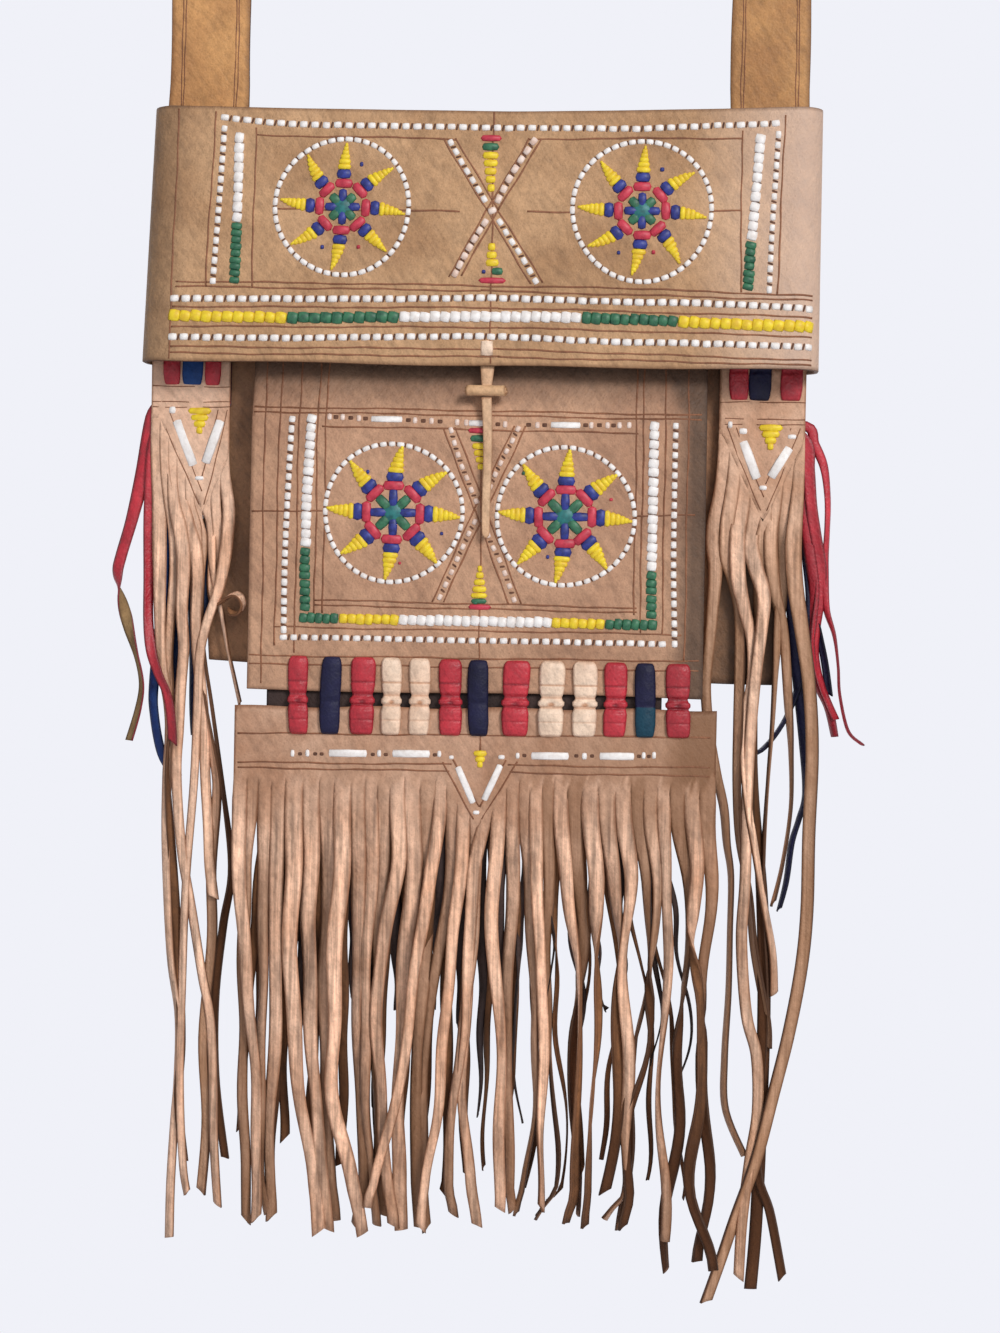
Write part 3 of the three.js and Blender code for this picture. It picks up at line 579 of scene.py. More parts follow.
coloured = bmesh.new()
lace_rows(coloured, pouch_skin, [
    (7, [(-76.5, -199), (-76.6, -208), (-76.3, -218), (-76.1, -227.4)], 8, 4.8, 3.9),
    (8, [(78.2, -206.6), (78.3, -215), (78.5, -222), (78.6, -227.4)], 6, 4.7, 3.8),
], finish=GREEN, **BROAD)
for start, end, count, finish in [
    (-78.6, -61.2, 5, GREEN), (-60.8, -34.2, 7, YELLOW), (34.4, 57.8, 6, YELLOW), (58.2, 81, 6, GREEN),
]:
    inner = [((2 * start + end) / 3, -230.3), ((start + 2 * end) / 3, -230.3)]
    points = [(start, -230.4), *inner, (end, -230.3)]
    wide = (end - start) / count * 1.1
    lace_row(coloured, pouch_skin, points, count, long=4.7, wide=wide, finish=finish, seed=start, **BROAD)
lace_star(coloured, pouch_skin, -37.4, -182.6, reach=29.4, rays=[83, 38, -3, -48, -96, -141, -183, -229],
          seed=3, broad=1.05)
lace_star(coloured, pouch_skin, 39.3, -183, reach=29.2, rays=[87, 40, -3, -50, -97, -134, -183, -230],
          seed=4, broad=1.05)
for x, z, wide, tall, finish in [
    (0, -145.5, 9.5, 2.6, RED), (0.1, -149, 7.6, 3.2, GREEN), (0.6, -152.4, 6.8, 3.0, YELLOW),
    (0.8, -155.4, 5.6, 2.9, YELLOW), (1.1, -158.4, 4.4, 2.8, YELLOW), (1.3, -161.4, 3.0, 2.8, YELLOW),
    (1.9, -206.8, 2.2, 2.9, YELLOW), (1.9, -209.8, 3.6, 3.0, YELLOW), (1.8, -212.9, 5.2, 3.0, YELLOW),
    (1.8, -216, 6.6, 3.0, YELLOW), (1.7, -218.8, 7.6, 2.6, YELLOW), (1.7, -221.3, 7.2, 2.4, GREEN),
    (2.1, -223.9, 10.4, 2.6, RED), (-49, -164.6, 1.5, 1.8, BLUE), (0.2, -222, 2, 1.8, GREEN),
    (20.5, -164, 1.5, 1.8, GREEN), (59.6, -175, 1.6, 1.4, RED), (32, -201, 1.5, 1.8, BLUE),
    (-15.5, -191.5, 1.5, 1.6, BLUE), (-34, -205, 1.3, 1.3, RED),
]:
    stitch(coloured, pouch_skin, x, z, 0.0, wide, tall, high=0.8, finish=finish)
fit(coloured, "pouch_coloured_lacing", COLOURED_LACES, "bag", "yellow_lace", "pouch_star_left",
    "pouch_star_right")

# The fringe panel: one piece of tan leather that hangs below the pouch, left whole along its upper edge and
# cut into strips below. Years of use have bent, turned and crossed the strips, some in front of others.
fringe_hide = leather("fringe_leather", dye(220, 178, 151), dye(186, 140, 112), dye(140, 86, 54),
                      streak=1.0)
fringe_flesh = leather("fringe_flesh_side", dye(128, 86, 56), dye(92, 60, 38), dye(72, 46, 30), rough=0.85,
                       streak=0.6)
fringe_cut = leather("fringe_cut_edge", dye(164, 112, 76), dye(130, 86, 58), dye(104, 68, 46), rough=0.65)
FRINGE_LEFT, FRINGE_RIGHT, FRINGE_FACE, FRINGE_CUT = -107.0, 108.6, -18.5, -300.5
STEP_DOWN = 36.7
# Each strip: the middle of its root, how far aside it has swung at five steps down and at its tip, its
# length, how far it lies in front of the others, how far round it is turned in degrees, and how pale it
# is, with painted shade on the strips that hang behind.
FRINGE_STRIPS = [
    (-103.8, (0.3, 3, 7, 10, 10.9, 10.9), 200, 2, 25, 0.1),
    (-98.6, (-2.9, -2.9, -2.9, -1.9, 0.1, 1.1), 202, -2, 10, -0.6),
    (-93.1, (0, 0, 0, 0, 1, 4), 199, -1, 50, -0.35),
    (-86.8, (0, 0, 1, -1, -1, 0), 200, 0, 20, -0.1),
    (-80.5, (1, 0, 2, 6, 13, 16), 205, 2, -15, 0.3),
    (-71.1, (1, 0, 2, 5, 9, 11), 204, 1, 15, 0),
    (-65.8, (2, 1, 1, 2, 4, 7), 201, -2, 30, -0.35),
    (-57.4, (1, -1, -1, -1, 9, 14), 205, 4.5, -10, 0.6),
    (-51.1, (1, 1, 1, 4, 6, 2), 203, -2, 45, -0.25),
    (-44.8, (1, -1, -1, 0, 3, 6), 202, 0, 55, -0.1),
    (-39.2, (-0.3, -1.3, -1.8, -0.8, 1.2, 3.2), 198, -2.5, 30, -0.5),
    (-33.4, (2, -5, -7, -4, -1, 2), 201, 2, 20, 0.3),
    (-27.1, (2, -1, -2, -3, -2, 0), 203, 1, -30, 0.1),
    (-18.9, (0.1, 0.1, -1.9, -2.9, -0.9, 0.1), 203, -3, 20, -0.6),
    (-13.7, (-2.7, -7.7, -11.7, -16.7, -26.7, -28.7), 193, 5.5, -25, 0.45),
    (-8.5, (0.4, -3.6, -9.6, -10.6, -9.6, -7.6), 203, -2, 25, -0.5),
    (-3.3, (-0.4, -3.4, -6.4, -8.4, -13.4, -15.4), 202, 3, -20, 0.35),
    (1.9, (0.7, -0.3, -3.3, -7.3, -9.3, -6.3), 196, 0, 35, -0.1),
    (7.1, (-5.1, -6.1, -7.1, -8.1, -3.1, -0.1), 200, 1, -40, 0),
    (12.3, (-1, -2, 3, 3, 4, 4), 192, 3, 15, 0.4),
    (18.5, (1.1, 0.1, -0.9, 1.1, 2.1, 4.1), 194, -2, 30, -0.3),
    (23.7, (2.3, 4.3, 6.3, 6.3, 2.3, -0.7), 195, -1, 50, -0.4),
    (28.9, (1.4, 3.4, 5.4, 6.4, 6.4, 6.4), 191, 3, -15, 0.45),
    (34.1, (1.5, 0.5, 3.5, 6.5, 8.5, 0.5), 197, -3, -60, -1.0),
    (39.3, (2.7, 7.7, 9.7, 9.7, 9.7, 4.7), 197, 2, 60, 0.3),
    (46.4, (2, 4, 2, 1, 4, 5), 194, -3, 40, -1.1),
    (52.7, (3, 5, 4, 3, 3, 1), 198, 3, 8, 0.35),
    (60.0, (4, 5, 8, 8, 3, -1), 183, 0, 45, -0.15),
    (68.4, (4, 4, 3, 5, 7, -3), 196, 2, -35, 0.15),
    (73.7, (5, 5, 2, 1, -2, -4), 199, -2, 70, -1.1),
    (80.1, (3, 4, 2, -8, -4, -8), 198, 1, -60, -0.5),
    (85.4, (3, 3, 0, 2, 3, 4), 204, 3, 40, 0.2),
    (91.7, (4, 6, 4, 3, 0, 2), 218, -2, 50, -1.0),
    (98.1, (4, 3, 4, 7, 4, 12), 216, 3, -25, 0.0),
    (105.4, (2, 0, 1, 1, 4, 2), 213, -1, 20, -0.9),
]
fringe_roots = [strip[0] for strip in FRINGE_STRIPS]
half_way = [(a + b) / 2 for a, b in zip(fringe_roots, fringe_roots[1:])]
fringe_slits = [FRINGE_LEFT, *half_way, FRINGE_RIGHT]


def fringe_skin(x, z):
    lie = 0.4 * math.sin(x * 0.07 + 0.6) + 0.2 * math.sin(x * 0.17 + z * 0.06)
    return Vector((x, FRINGE_FACE + lie, z))


def fringe_cuts(x):
    ragged = 1.8 * math.sin(x * 0.37) + 1.4 * math.sin(x * 0.83 + 1)
    return -301 + 0.006 * x + ragged - 19 * max(0.0, 1 - abs(x - 3) / 15)


def fringe_head(across, down):
    along = across * len(FRINGE_STRIPS)
    i = min(int(along + 1e-5), len(FRINGE_STRIPS) - 1)
    x = fringe_slits[i] + (fringe_slits[i + 1] - fringe_slits[i]) * (along - i)
    top = -269 + 0.0129 * x + 0.5 * math.sin(x * 0.11)
    return fringe_skin(x, top + (fringe_cuts(x) - top) * down)


def head_rim(v, across, down):
    return 1.0 if v.is_boundary and down < 0.999 else 0.0


def hang_strip(sheet, start, end, head, rows, route, width, turn, tone, cup, slant, hold_to, lean=0.0):
    """One strip, cut from its head between start and end, along route(t), as wide as width(t), at turn(t).

    The head holds it flat down to hold_to, cup hollows it, slant cuts its tip and lean tips its face up.
    """
    def shape(across, down):
        root = head(start + (end - start) * across, 1.0)
        if down < 1e-6:
            return root
        middle = route(down)
        onward = route(min(1.0, down + 0.01)) - route(max(0.0, down - 0.01))
        swing = turn(down)
        onward.normalize()
        aside = Vector((math.cos(swing), -math.sin(swing), lean))
        aside = (aside - onward * aside.dot(onward)).normalized()
        face = onward.cross(aside)
        c = 2 * across - 1
        free = middle + aside * (c * width(down) / 2) + face * (cup * c * c)
        free += onward * (slant * c * max(0.0, down - 0.9) * 10)
        held = root + Vector((0, 0, middle.z - route(0.0).z))
        return held.lerp(free, eased(down / hold_to))

    def side(v, across, down):
        return min(1.0, down * 25) if across < 0.01 or across > 0.99 else 0.0

    def tone_with_painted_highlight(across, down):
        """Paler along the middle and darker at the edges: painted highlight and shade of a rounded strip."""
        return tone(across, down) + min(1.0, down * 6) * (0.24 - 0.42 * (2 * across - 1) ** 2)

    add_leather(sheet, 4, rows, shape, side, tone_with_painted_highlight, lambda across, down: min(1.0, down * 9))


def hang_fringe(sheet, head, i, count, root, sway, cuts_end, length, depth, fore, turned, tone, wide, curly,
                point=0.0):
    """A fringe strip: it hangs straight from its cut, then swings aside, turns and comes forward."""
    fall = FRINGE_CUT - length - cuts_end

    def fallen(t):
        return max(0.0, FRINGE_CUT - (cuts_end + fall * t))

    def route(t):
        drop = fallen(t)
        steps = drop / STEP_DOWN
        if steps >= 5:
            steps = 5 + (drop - 5 * STEP_DOWN) / max(length - 5 * STEP_DOWN, 9)
        free = eased(drop / 75)
        y = depth - free * (fore + 0.9 * math.sin(t * 7 + i * 1.7) + 0.7 * math.sin(t * 15 + i))
        x = root + eased(drop / 45) * smooth_line((0,) + tuple(sway), steps / 6)
        x += free * (0.4 * math.sin(t * 21 + i * 2.3) + 1.9 * curly * math.sin(t * 13 + i * 2.9))
        return Vector((x, y, cuts_end + fall * t))

    def turn(t):
        drop = fallen(t)
        free = eased(drop / 110)
        over = 170 * curly * eased((drop - 40 - 75 * vary(i + 0.7)) / 50) if vary(i + 0.35) > 0.2 else 0.0
        wag = (8 + 26 * curly) * free * math.sin(t * 9 + i * 2.1) + 6 * free * math.sin(t * 23 + i)
        return math.radians((0.6 + 0.4 * curly) * turned * free + math.copysign(over, turned) + wag)

    def width(t):
        free = eased(fallen(t) / (150 - 90 * curly))
        slim = 1.0 - (0.26 + 0.1 * curly) * free - 0.06 * math.sin(t * 13 + i) * free
        return wide * slim * (1 - point * max(0.0, t - 0.55) / 0.45)

    def shade(across, down):
        drop = fallen(down)
        whole = 0.2 * (1 + curly) * (1 - eased((drop - 18) / 14))
        darkening = (0.3 + 0.4 * curly) * down + (0.2 + 0.6 * vary(i + 0.55)) * eased((down - 0.62) / 0.38)
        mottled = 0.16 * math.sin(down * 8 + i * 1.3) * eased(drop / 40)
        # The tone, stronger lower down, paints shade on the strips that hang behind; each strip also darkens
        # just below its cut and towards its tip.
        return max(-1.15, tone * (0.5 + eased(drop / 90)) + 0.12 - whole - darkening + mottled)

    cup, slant = -0.3 - 0.6 * vary(i + 0.3), 5 * (vary(i + 0.9) - 0.5)
    hang_strip(sheet, i / count, (i + 1) / count, head, 40, route, width, turn, shade, cup, slant,
               hold_to=0.06)


def head_tone(across, down):
    """The head is a little darker towards its right end and where the strips begin."""
    return -0.22 - 0.3 * clamp((across - 0.5) / 0.25) - 0.06 * down - 0.5 * eased((across - 0.88) / 0.07)


fringe = cut_leather(len(FRINGE_STRIPS) * 4, 10, fringe_head, head_rim, head_tone)
for i, (root, sway, length, fore, turned, tone) in enumerate(FRINGE_STRIPS):
    wide = min(8.2, 1.2 * (fringe_slits[i + 1] - fringe_slits[i]))
    middle_of_root = (fringe_slits[i] + fringe_slits[i + 1]) / 2
    hang_fringe(fringe, fringe_head, i, len(FRINGE_STRIPS), middle_of_root, sway, fringe_cuts(root), length,
                FRINGE_FACE, fore, turned, tone, wide, clamp((root - 15) / 60))
bmesh.ops.remove_doubles(fringe, verts=fringe.verts, dist=0.01)
fringe_piece = fit(fringe, "fringe", [fringe_hide, fringe_flesh, fringe_cut], "bag", "tan_leather",
                   "fringe_panel")
thicken(fringe_piece, 1.3, round_off=0.0)

# The fringe's dark layer: a thinner piece of nearly black leather held behind the fringe panel by the same
# lacing. It is cut into short black and longer browned strips, which show as dark lines in the gaps. Its
# head in the slit above the fringe and its browned strips also stand in for the shade behind the fringe.
dark_hide = leather("dark_leather", dye(66, 50, 46), dye(40, 30, 30), dye(28, 20, 20), rough=0.6,
                    streak=0.5, shine=0.2)
DARK_LEFT, DARK_RIGHT, DARK_FACE, DARK_COUNT = -93.0, 84.0, -16.4, 37


def dark_head(across, down):
    x = DARK_LEFT + (DARK_RIGHT - DARK_LEFT) * across
    return Vector((x, DARK_FACE + 0.1 * math.sin(x * 0.2), -258.6 - (58 - 3 * math.sin(x * 0.7)) * down))


dark = cut_leather(DARK_COUNT * 4, 8, dark_head, head_rim)
for part in dark.faces:
    part.tag = True
for i in range(DARK_COUNT):
    root = DARK_LEFT + (i + 0.5) * (DARK_RIGHT - DARK_LEFT) / DARK_COUNT
    curly = clamp((root + 5) / 50)
    spread = 17 * max(0.0, root - 30) / 54 + min(0.0, root + 60) / 3
    pace = 0.9 + 0.5 * vary(i)
    swing = [(2.0 + 4 * curly) * math.sin(j * pace + i * 2.4) * j / 5 for j in range(1, 7)]
    sway = [aside + spread * min(1.0, j / 3) for j, aside in enumerate(swing, 1)]
    # The longer browned strips fill the gaps, partly as painted shade.
    browned = i % 2 == 1 or i < 3
    length = 160 + 30 * vary(i + 0.4) if browned else 98 + 60 * vary(i + 0.4)
    cuts_end, tone = dark_head((i + 0.5) / DARK_COUNT, 1.0).z, 0.6 * (vary(i) - 0.5)
    fore, turned = -2.2 - 1.2 * vary(i + 0.6), 120 * (vary(i + 0.8) - 0.5) * curly
    hang_fringe(dark, dark_head, i, DARK_COUNT, root, sway, cuts_end, length, DARK_FACE, fore, turned, tone,
                6.6 - 2.6 * curly, 0.1 + 0.7 * curly, 0.1 if browned else 0.75)
    for part in [face for face in dark.faces if not face.tag]:
        part.tag, part.material_index = True, 3 if browned else 0
bmesh.ops.remove_doubles(dark, verts=dark.verts, dist=0.01)
dark_piece = fit(dark, "fringe_dark_layer", 3 * [dark_hide] + 3 * [fringe_flesh], "bag", "brown_leather")
thicken(dark_piece, 0.6, round_off=0.0)

# The fringe panel's own pattern: pressed lines, a broken row of white bars, and a white V with a small
# yellow point on its tongue, laced in the same narrow strips.
press_lines("fringe_pressed_lines", fringe_skin, "bag", wide=0.75, seed=40.3, runs=[
    ((-105.5, -282.6), (106, -279.6)), ((-105.3, -295.6), (-9, -294.4)), ((16, -294.2), (106, -293.2)),
    ((-105.2, -298), (-10, -297.4)), ((17, -297.4), (106, -297)), ((-13, -293.4), (1.4, -318.6)),
    ((-8.4, -292.2), (3.6, -313)), ((20.6, -292.6), (4.8, -318.6)), ((15.4, -292), (3.6, -313)),
    ((3.2, -270), (3.4, -288)),
])

white = bmesh.new()
for x, z, wide, tall in [
    (-80.6, -291.1, 1.8, 3.3), (-73.9, -290.9, 1.9, 3.3), (-41.6, -290.2, 1.9, 3.2),
    (-14.6, -289.8, 1.8, 3.0), (-9.2, -291.2, 2.2, 1.8), (13.2, -290.6, 3.0, 2.0), (20.4, -289.8, 1.8, 2.8),
    (50.2, -289.3, 2.3, 3.2), (76.5, -288.4, 1.8, 3.2), (81.1, -288.2, 1.8, 3.2), (2.4, -315.6, 3.0, 1.9),
]:
    stitch(white, fringe_skin, x, z, 0.0, wide, tall, high=0.6, finish=WHITE)
for start, end, z in [(-64.4, -47, -290.5), (-35.8, -18.7, -290), (26.3, 43.3, -289.6), (56.8, 72.4, -289)]:
    stitch(white, fringe_skin, (start + end) / 2, z, 0.012, end - start, 3.5, 0.4, WHITE, *FLAT_BAR)
for start, end in [((-6.4, -295.2), (1, -311.6)), ((12.9, -294), (5.6, -310.2))]:
    lace_bar(white, fringe_skin, start, end, wide=3.1)
for x in [-77.2, -70.4, -67.5, -44.4, -38.6, -16.6, 23.4, 46.6, 53.6, 74.4, 78.8]:
    stitch(white, fringe_skin, x, -290 + 0.0166 * x, 0.0, long=2.0, wide=1.6, high=0.1, finish=SLIT)
fit(white, "fringe_white_lacing", WHITE_LACES, "bag", "white_lace", "fringe_chevron")
coloured = bmesh.new()
for z, wide in [(-289.2, 6.2), (-291.8, 4.6), (-294.2, 2.6)]:
    stitch(coloured, fringe_skin, 3.6, z, 0.0, wide, 2.8, high=0.7, finish=YELLOW)
fit(coloured, "fringe_yellow_lacing", [yellow_lace], "bag", "yellow_lace")

# The lacing that carries the fringe: thirteen short straps in red, blue and natural leather. Each is looped
# through a slit in the pouch and one in the fringe panel, and drawn in where it crosses the gap.
red_hide = leather("red_leather", dye(194, 52, 64), dye(160, 36, 48), dye(104, 20, 32), rough=0.4,
                   shine=0.4)
navy_hide = leather("navy_leather", dye(32, 32, 64), dye(20, 19, 42), dye(10, 10, 22), rough=0.5, shine=0.2)
teal_hide = leather("teal_leather", dye(28, 66, 84), dye(18, 40, 60), dye(10, 18, 26), rough=0.5, shine=0.2)
cream_hide = leather("cream_leather", dye(246, 218, 194), dye(232, 196, 170), dye(178, 112, 66), rough=0.4,
                     shine=0.4)
dyed_flesh = leather("dyed_flesh_side", dye(168, 136, 96), dye(132, 104, 70), dye(96, 74, 50), rough=0.85)
# A loop's outline from its upper slit to its lower one: how far down, how wide and how full it is. Its
# creases: how far down, how long and how dark their painted shade is.
DRAWN_LOOP = [
    (0.0, 0.55, 0.0), (0.02, 0.74, 0.5), (0.05, 0.9, 0.85), (0.1, 0.99, 1.0), (0.2, 1.0, 1.0),
    (0.3, 0.98, 0.9), (0.325, 0.96, 0.62), (0.35, 0.97, 0.9), (0.43, 0.91, 0.9), (0.485, 0.8, 0.3),
    (0.51, 0.86, 0.55), (0.54, 1.02, 1.05), (0.575, 1.02, 1.0), (0.612, 0.86, 0.3), (0.64, 0.93, 0.7),
    (0.69, 1.0, 1.0), (0.78, 0.99, 0.95), (0.8, 0.97, 0.75), (0.82, 0.97, 0.95), (0.9, 0.95, 0.9),
    (0.96, 0.87, 0.65), (1.0, 0.66, 0.0),
]
DRAWN_CREASES = [(0.325, 0.022, 1.1), (0.487, 0.03, 0.9), (0.612, 0.03, 0.9), (0.8, 0.022, 0.7)]
PLAIN_LOOP = [
    (0.0, 0.5, 0.0), (0.02, 0.68, 0.45), (0.05, 0.83, 0.8), (0.12, 0.95, 1.0), (0.3, 1.0, 1.05),
    (0.5, 0.98, 0.95), (0.58, 0.94, 0.7), (0.63, 0.97, 0.9), (0.8, 0.97, 1.0), (0.9, 0.91, 0.9),
    (0.96, 0.82, 0.6), (1.0, 0.62, 0.0),
]


def lacing_loop(x, wide, top, bottom, face, back, swell, outline, seed, tone=0.0):
    """A closed loop: its face goes from the upper slit over the gap to the lower one, its back returns."""
    def near(f, at, half):
        return max(0.0, 1 - abs(f - at) / half)

    def along(f):
        for (f0, w0, h0), (f1, w1, h1) in zip(outline, outline[1:]):
            if f <= f1:
                t = (f - f0) / (f1 - f0)
                t = eased(t) if f0 > 0.15 and f1 < 0.95 else t
                return w0 + (w1 - w0) * t, h0 + (h1 - h0) * t
        return outline[-1][1:]

    def shape(across, down):
        c = 2 * across - 1
        if down <= 0.8:
            f = down / 0.8
            half, full = along(f)
            knot = near(f, 0.56, 0.06) * max(0.0, 1 - abs(c) / 0.55) if outline is DRAWN_LOOP else 0.0
            rise = min(1.0, f / 0.03, (1 - f) / 0.03)
            y = face + 1.6 - 1.6 * rise - swell * (full - 0.75 * knot) * (1 - 0.6 * c * c)
            z = top + (bottom - top) * f
        else:
            f = (down - 0.8) / 0.2
            half = outline[-1][1] + (outline[0][1] - outline[-1][1]) * f
            y = face + 1.6 + (back - face - 1.6) * math.sin(math.pi * f)
            z = bottom + (top - bottom) * f
        lean = 0.4 * math.sin(seed * 2.1) * (z - top) / (bottom - top)
        return Vector((x + c * half * wide / 2 + 0.25 * math.sin(z * 0.13 + seed) + lean, y, z))

    # Painted shade at the slit ends, along the creases and in the knot's middle; the cut edges are darker in
    # their own colour.
    def shade(v, across, down):
        f, c = down / 0.8, 2 * across - 1
        if f > 1.02:
            return 0.0
        darkening = max(near(f, 0.0, 0.02), near(f, 1.0, 0.02), 0.55 if abs(c) > 0.98 else 0.0)
        if outline is DRAWN_LOOP:
            darkening = max(darkening, *(dark * near(f, at, half) for at, half, dark in DRAWN_CREASES))
            darkening = max(darkening, 1.6 * near(f, 0.575, 0.045) * max(0.0, 1 - abs(c) / 0.5))
        return darkening

    loop = cut_leather(10, 110, shape, shade, lambda across, down: tone)
    bmesh.ops.remove_doubles(loop, verts=loop.verts, dist=0.01)
    return loop


# Each loop's middle and width, its colour and how pale it is.
LACING = [
    (-78.5, 9.1, "red", -0.05), (-63.6, 9.5, "navy", 0.1), (-49.5, 11.2, "red", 0.05),
    (-36.8, 9.1, "cream", 0.0), (-23.8, 9.5, "cream", 0.05), (-10.1, 10.4, "red", 0.15),
    (2.2, 9.5, "navy", -0.1), (19.3, 12.2, "red", 0.1), (35, 11.5, "cream", 0.0), (49.6, 11, "cream", 0.05),
    (63.5, 10.4, "red", 0.1), (76.6, 9.4, "navy", 0.0), (91.1, 11, "red", -0.5),
]
DYED = {"red": red_hide, "navy": navy_hide, "cream": cream_hide}
for number, (x, wide, colour, tone) in enumerate(LACING, 1):
    hide = DYED[colour]
    outline = PLAIN_LOOP if colour == "navy" else DRAWN_LOOP
    loop = lacing_loop(x, wide, top=-246.8, bottom=-281.8 + 0.012 * x, face=-19.0, back=-14.4, swell=2.5,
                       outline=outline, seed=number, tone=tone)
    finishes = [hide, dyed_flesh, hide]
    if number == 12:  # its lower half has faded
        finishes += [teal_hide, dyed_flesh, teal_hide]
        for part in loop.faces:
            part.material_index = 3 if part.calc_center_median().z < -267 else 0
    loop_name = "lacing_%02d" % number
    thicken(fit(loop, "fringe_" + loop_name, finishes, "bag", colour + "_leather", loop_name), 0.9,
            round_off=0.0)

# The shoulder strap: one long band of thicker golden leather, with two pressed lines along it. It comes up
# out of the cover at each side, turns a quarter round and goes over the shoulder on its flat.
strap_hide = leather("strap_leather", dye(218, 163, 106), dye(189, 136, 88), dye(96, 60, 38))
strap_flesh = leather("strap_flesh_side", dye(176, 134, 94), dye(140, 102, 70), dye(100, 70, 48),
                      rough=0.82)
strap_cut = leather("strap_cut_edge", dye(126, 84, 56), dye(92, 60, 40), dye(74, 48, 34), rough=0.6)
LEG_X, CROWN_BASE, STRAP_FOOT, STRAP_HALF = 126.5, 340.0, -108.5, 18.0


def strap_skin(aside, run):
    """The strap's outer face, aside from its middle and run along it from the left leg's foot."""
    leg = CROWN_BASE - STRAP_FOOT
    bend = math.pi * LEG_X
    back_down = run > leg + bend / 2
    run = 2 * leg + bend - run if back_down else run
    if run <= leg:
        z = STRAP_FOOT + run
        turned = clamp((z - 190) / 150)
        turn = math.pi / 2 * eased(turned)
        jog = 1.7 * (1 - eased((z - STRAP_FOOT) / 24))
        bow = 1.2 * math.sin((z + 108) * 0.012) * (1 - turned)
        middle = Vector((-LEG_X - 3.5 * clamp((10 - z) / 100), bow - jog, z))
        wide = Vector((math.cos(turn), -math.sin(turn), 0))
        out = Vector((-math.sin(turn), -math.cos(turn), 0))
    else:
        turn = (run - leg) / LEG_X
        out = Vector((-math.cos(turn), 0, math.sin(turn)))
        middle = Vector((0, 0, CROWN_BASE)) + LEG_X * out
        wide = Vector((0, -1, 0))
    spot = middle + wide * aside + out * (1.5 + 0.5 * (1 - (aside / STRAP_HALF) ** 2))
    return Vector((-spot.x, spot.y, spot.z)) if back_down else spot


STRAP_RUN = 2 * (CROWN_BASE - STRAP_FOOT) + math.pi * LEG_X


def strap_shape(across, down):
    run = STRAP_RUN * (1 - down)
    half = STRAP_HALF + 0.4 * math.sin(run * 0.021) + 0.25 * math.sin(run * 0.083)
    return strap_skin((2 * across - 1) * half, run)


strap = cut_leather(10, 260, strap_shape, tone=lambda across, down: -0.4 * max(0.0, 1 - down / 0.5))
strap_finishes = [strap_hide, strap_flesh, strap_cut]
thicken(fit(strap, "strap", strap_finishes, "bag", "tan_leather", "shoulder_strap"), 3.0, round_off=0.5)
lines = bmesh.new()
pace = STRAP_RUN / 12
for seed, aside in enumerate([-12.6, -11.4, 11.6, 12.8]):
    for part in range(12):
        start, end = (aside, pace * part + 0.3), (aside, pace * (part + 1))
        press_line(lines, strap_skin, start, end, wide=0.45, seed=seed + 60.1)
fit(lines, "strap_pressed_lines", [pressed_line], "bag", "tan_leather")

# The side tassels: each hangs from the foot of a strap leg on three short laces. Tan leather lies in front,
# with a red and a dark blue piece behind it, all cut into long strips below their heads.
tassel_hide = leather("tassel_leather", dye(246, 204, 176), dye(214, 166, 136), dye(146, 90, 58),
                      streak=1.0)
blue_hide = leather("blue_leather", dye(36, 72, 132), dye(24, 42, 88), dye(14, 20, 44), rough=0.5,
                    shine=0.2)
TASSEL_TOP, TASSEL_FACE = -112.5, -3.4
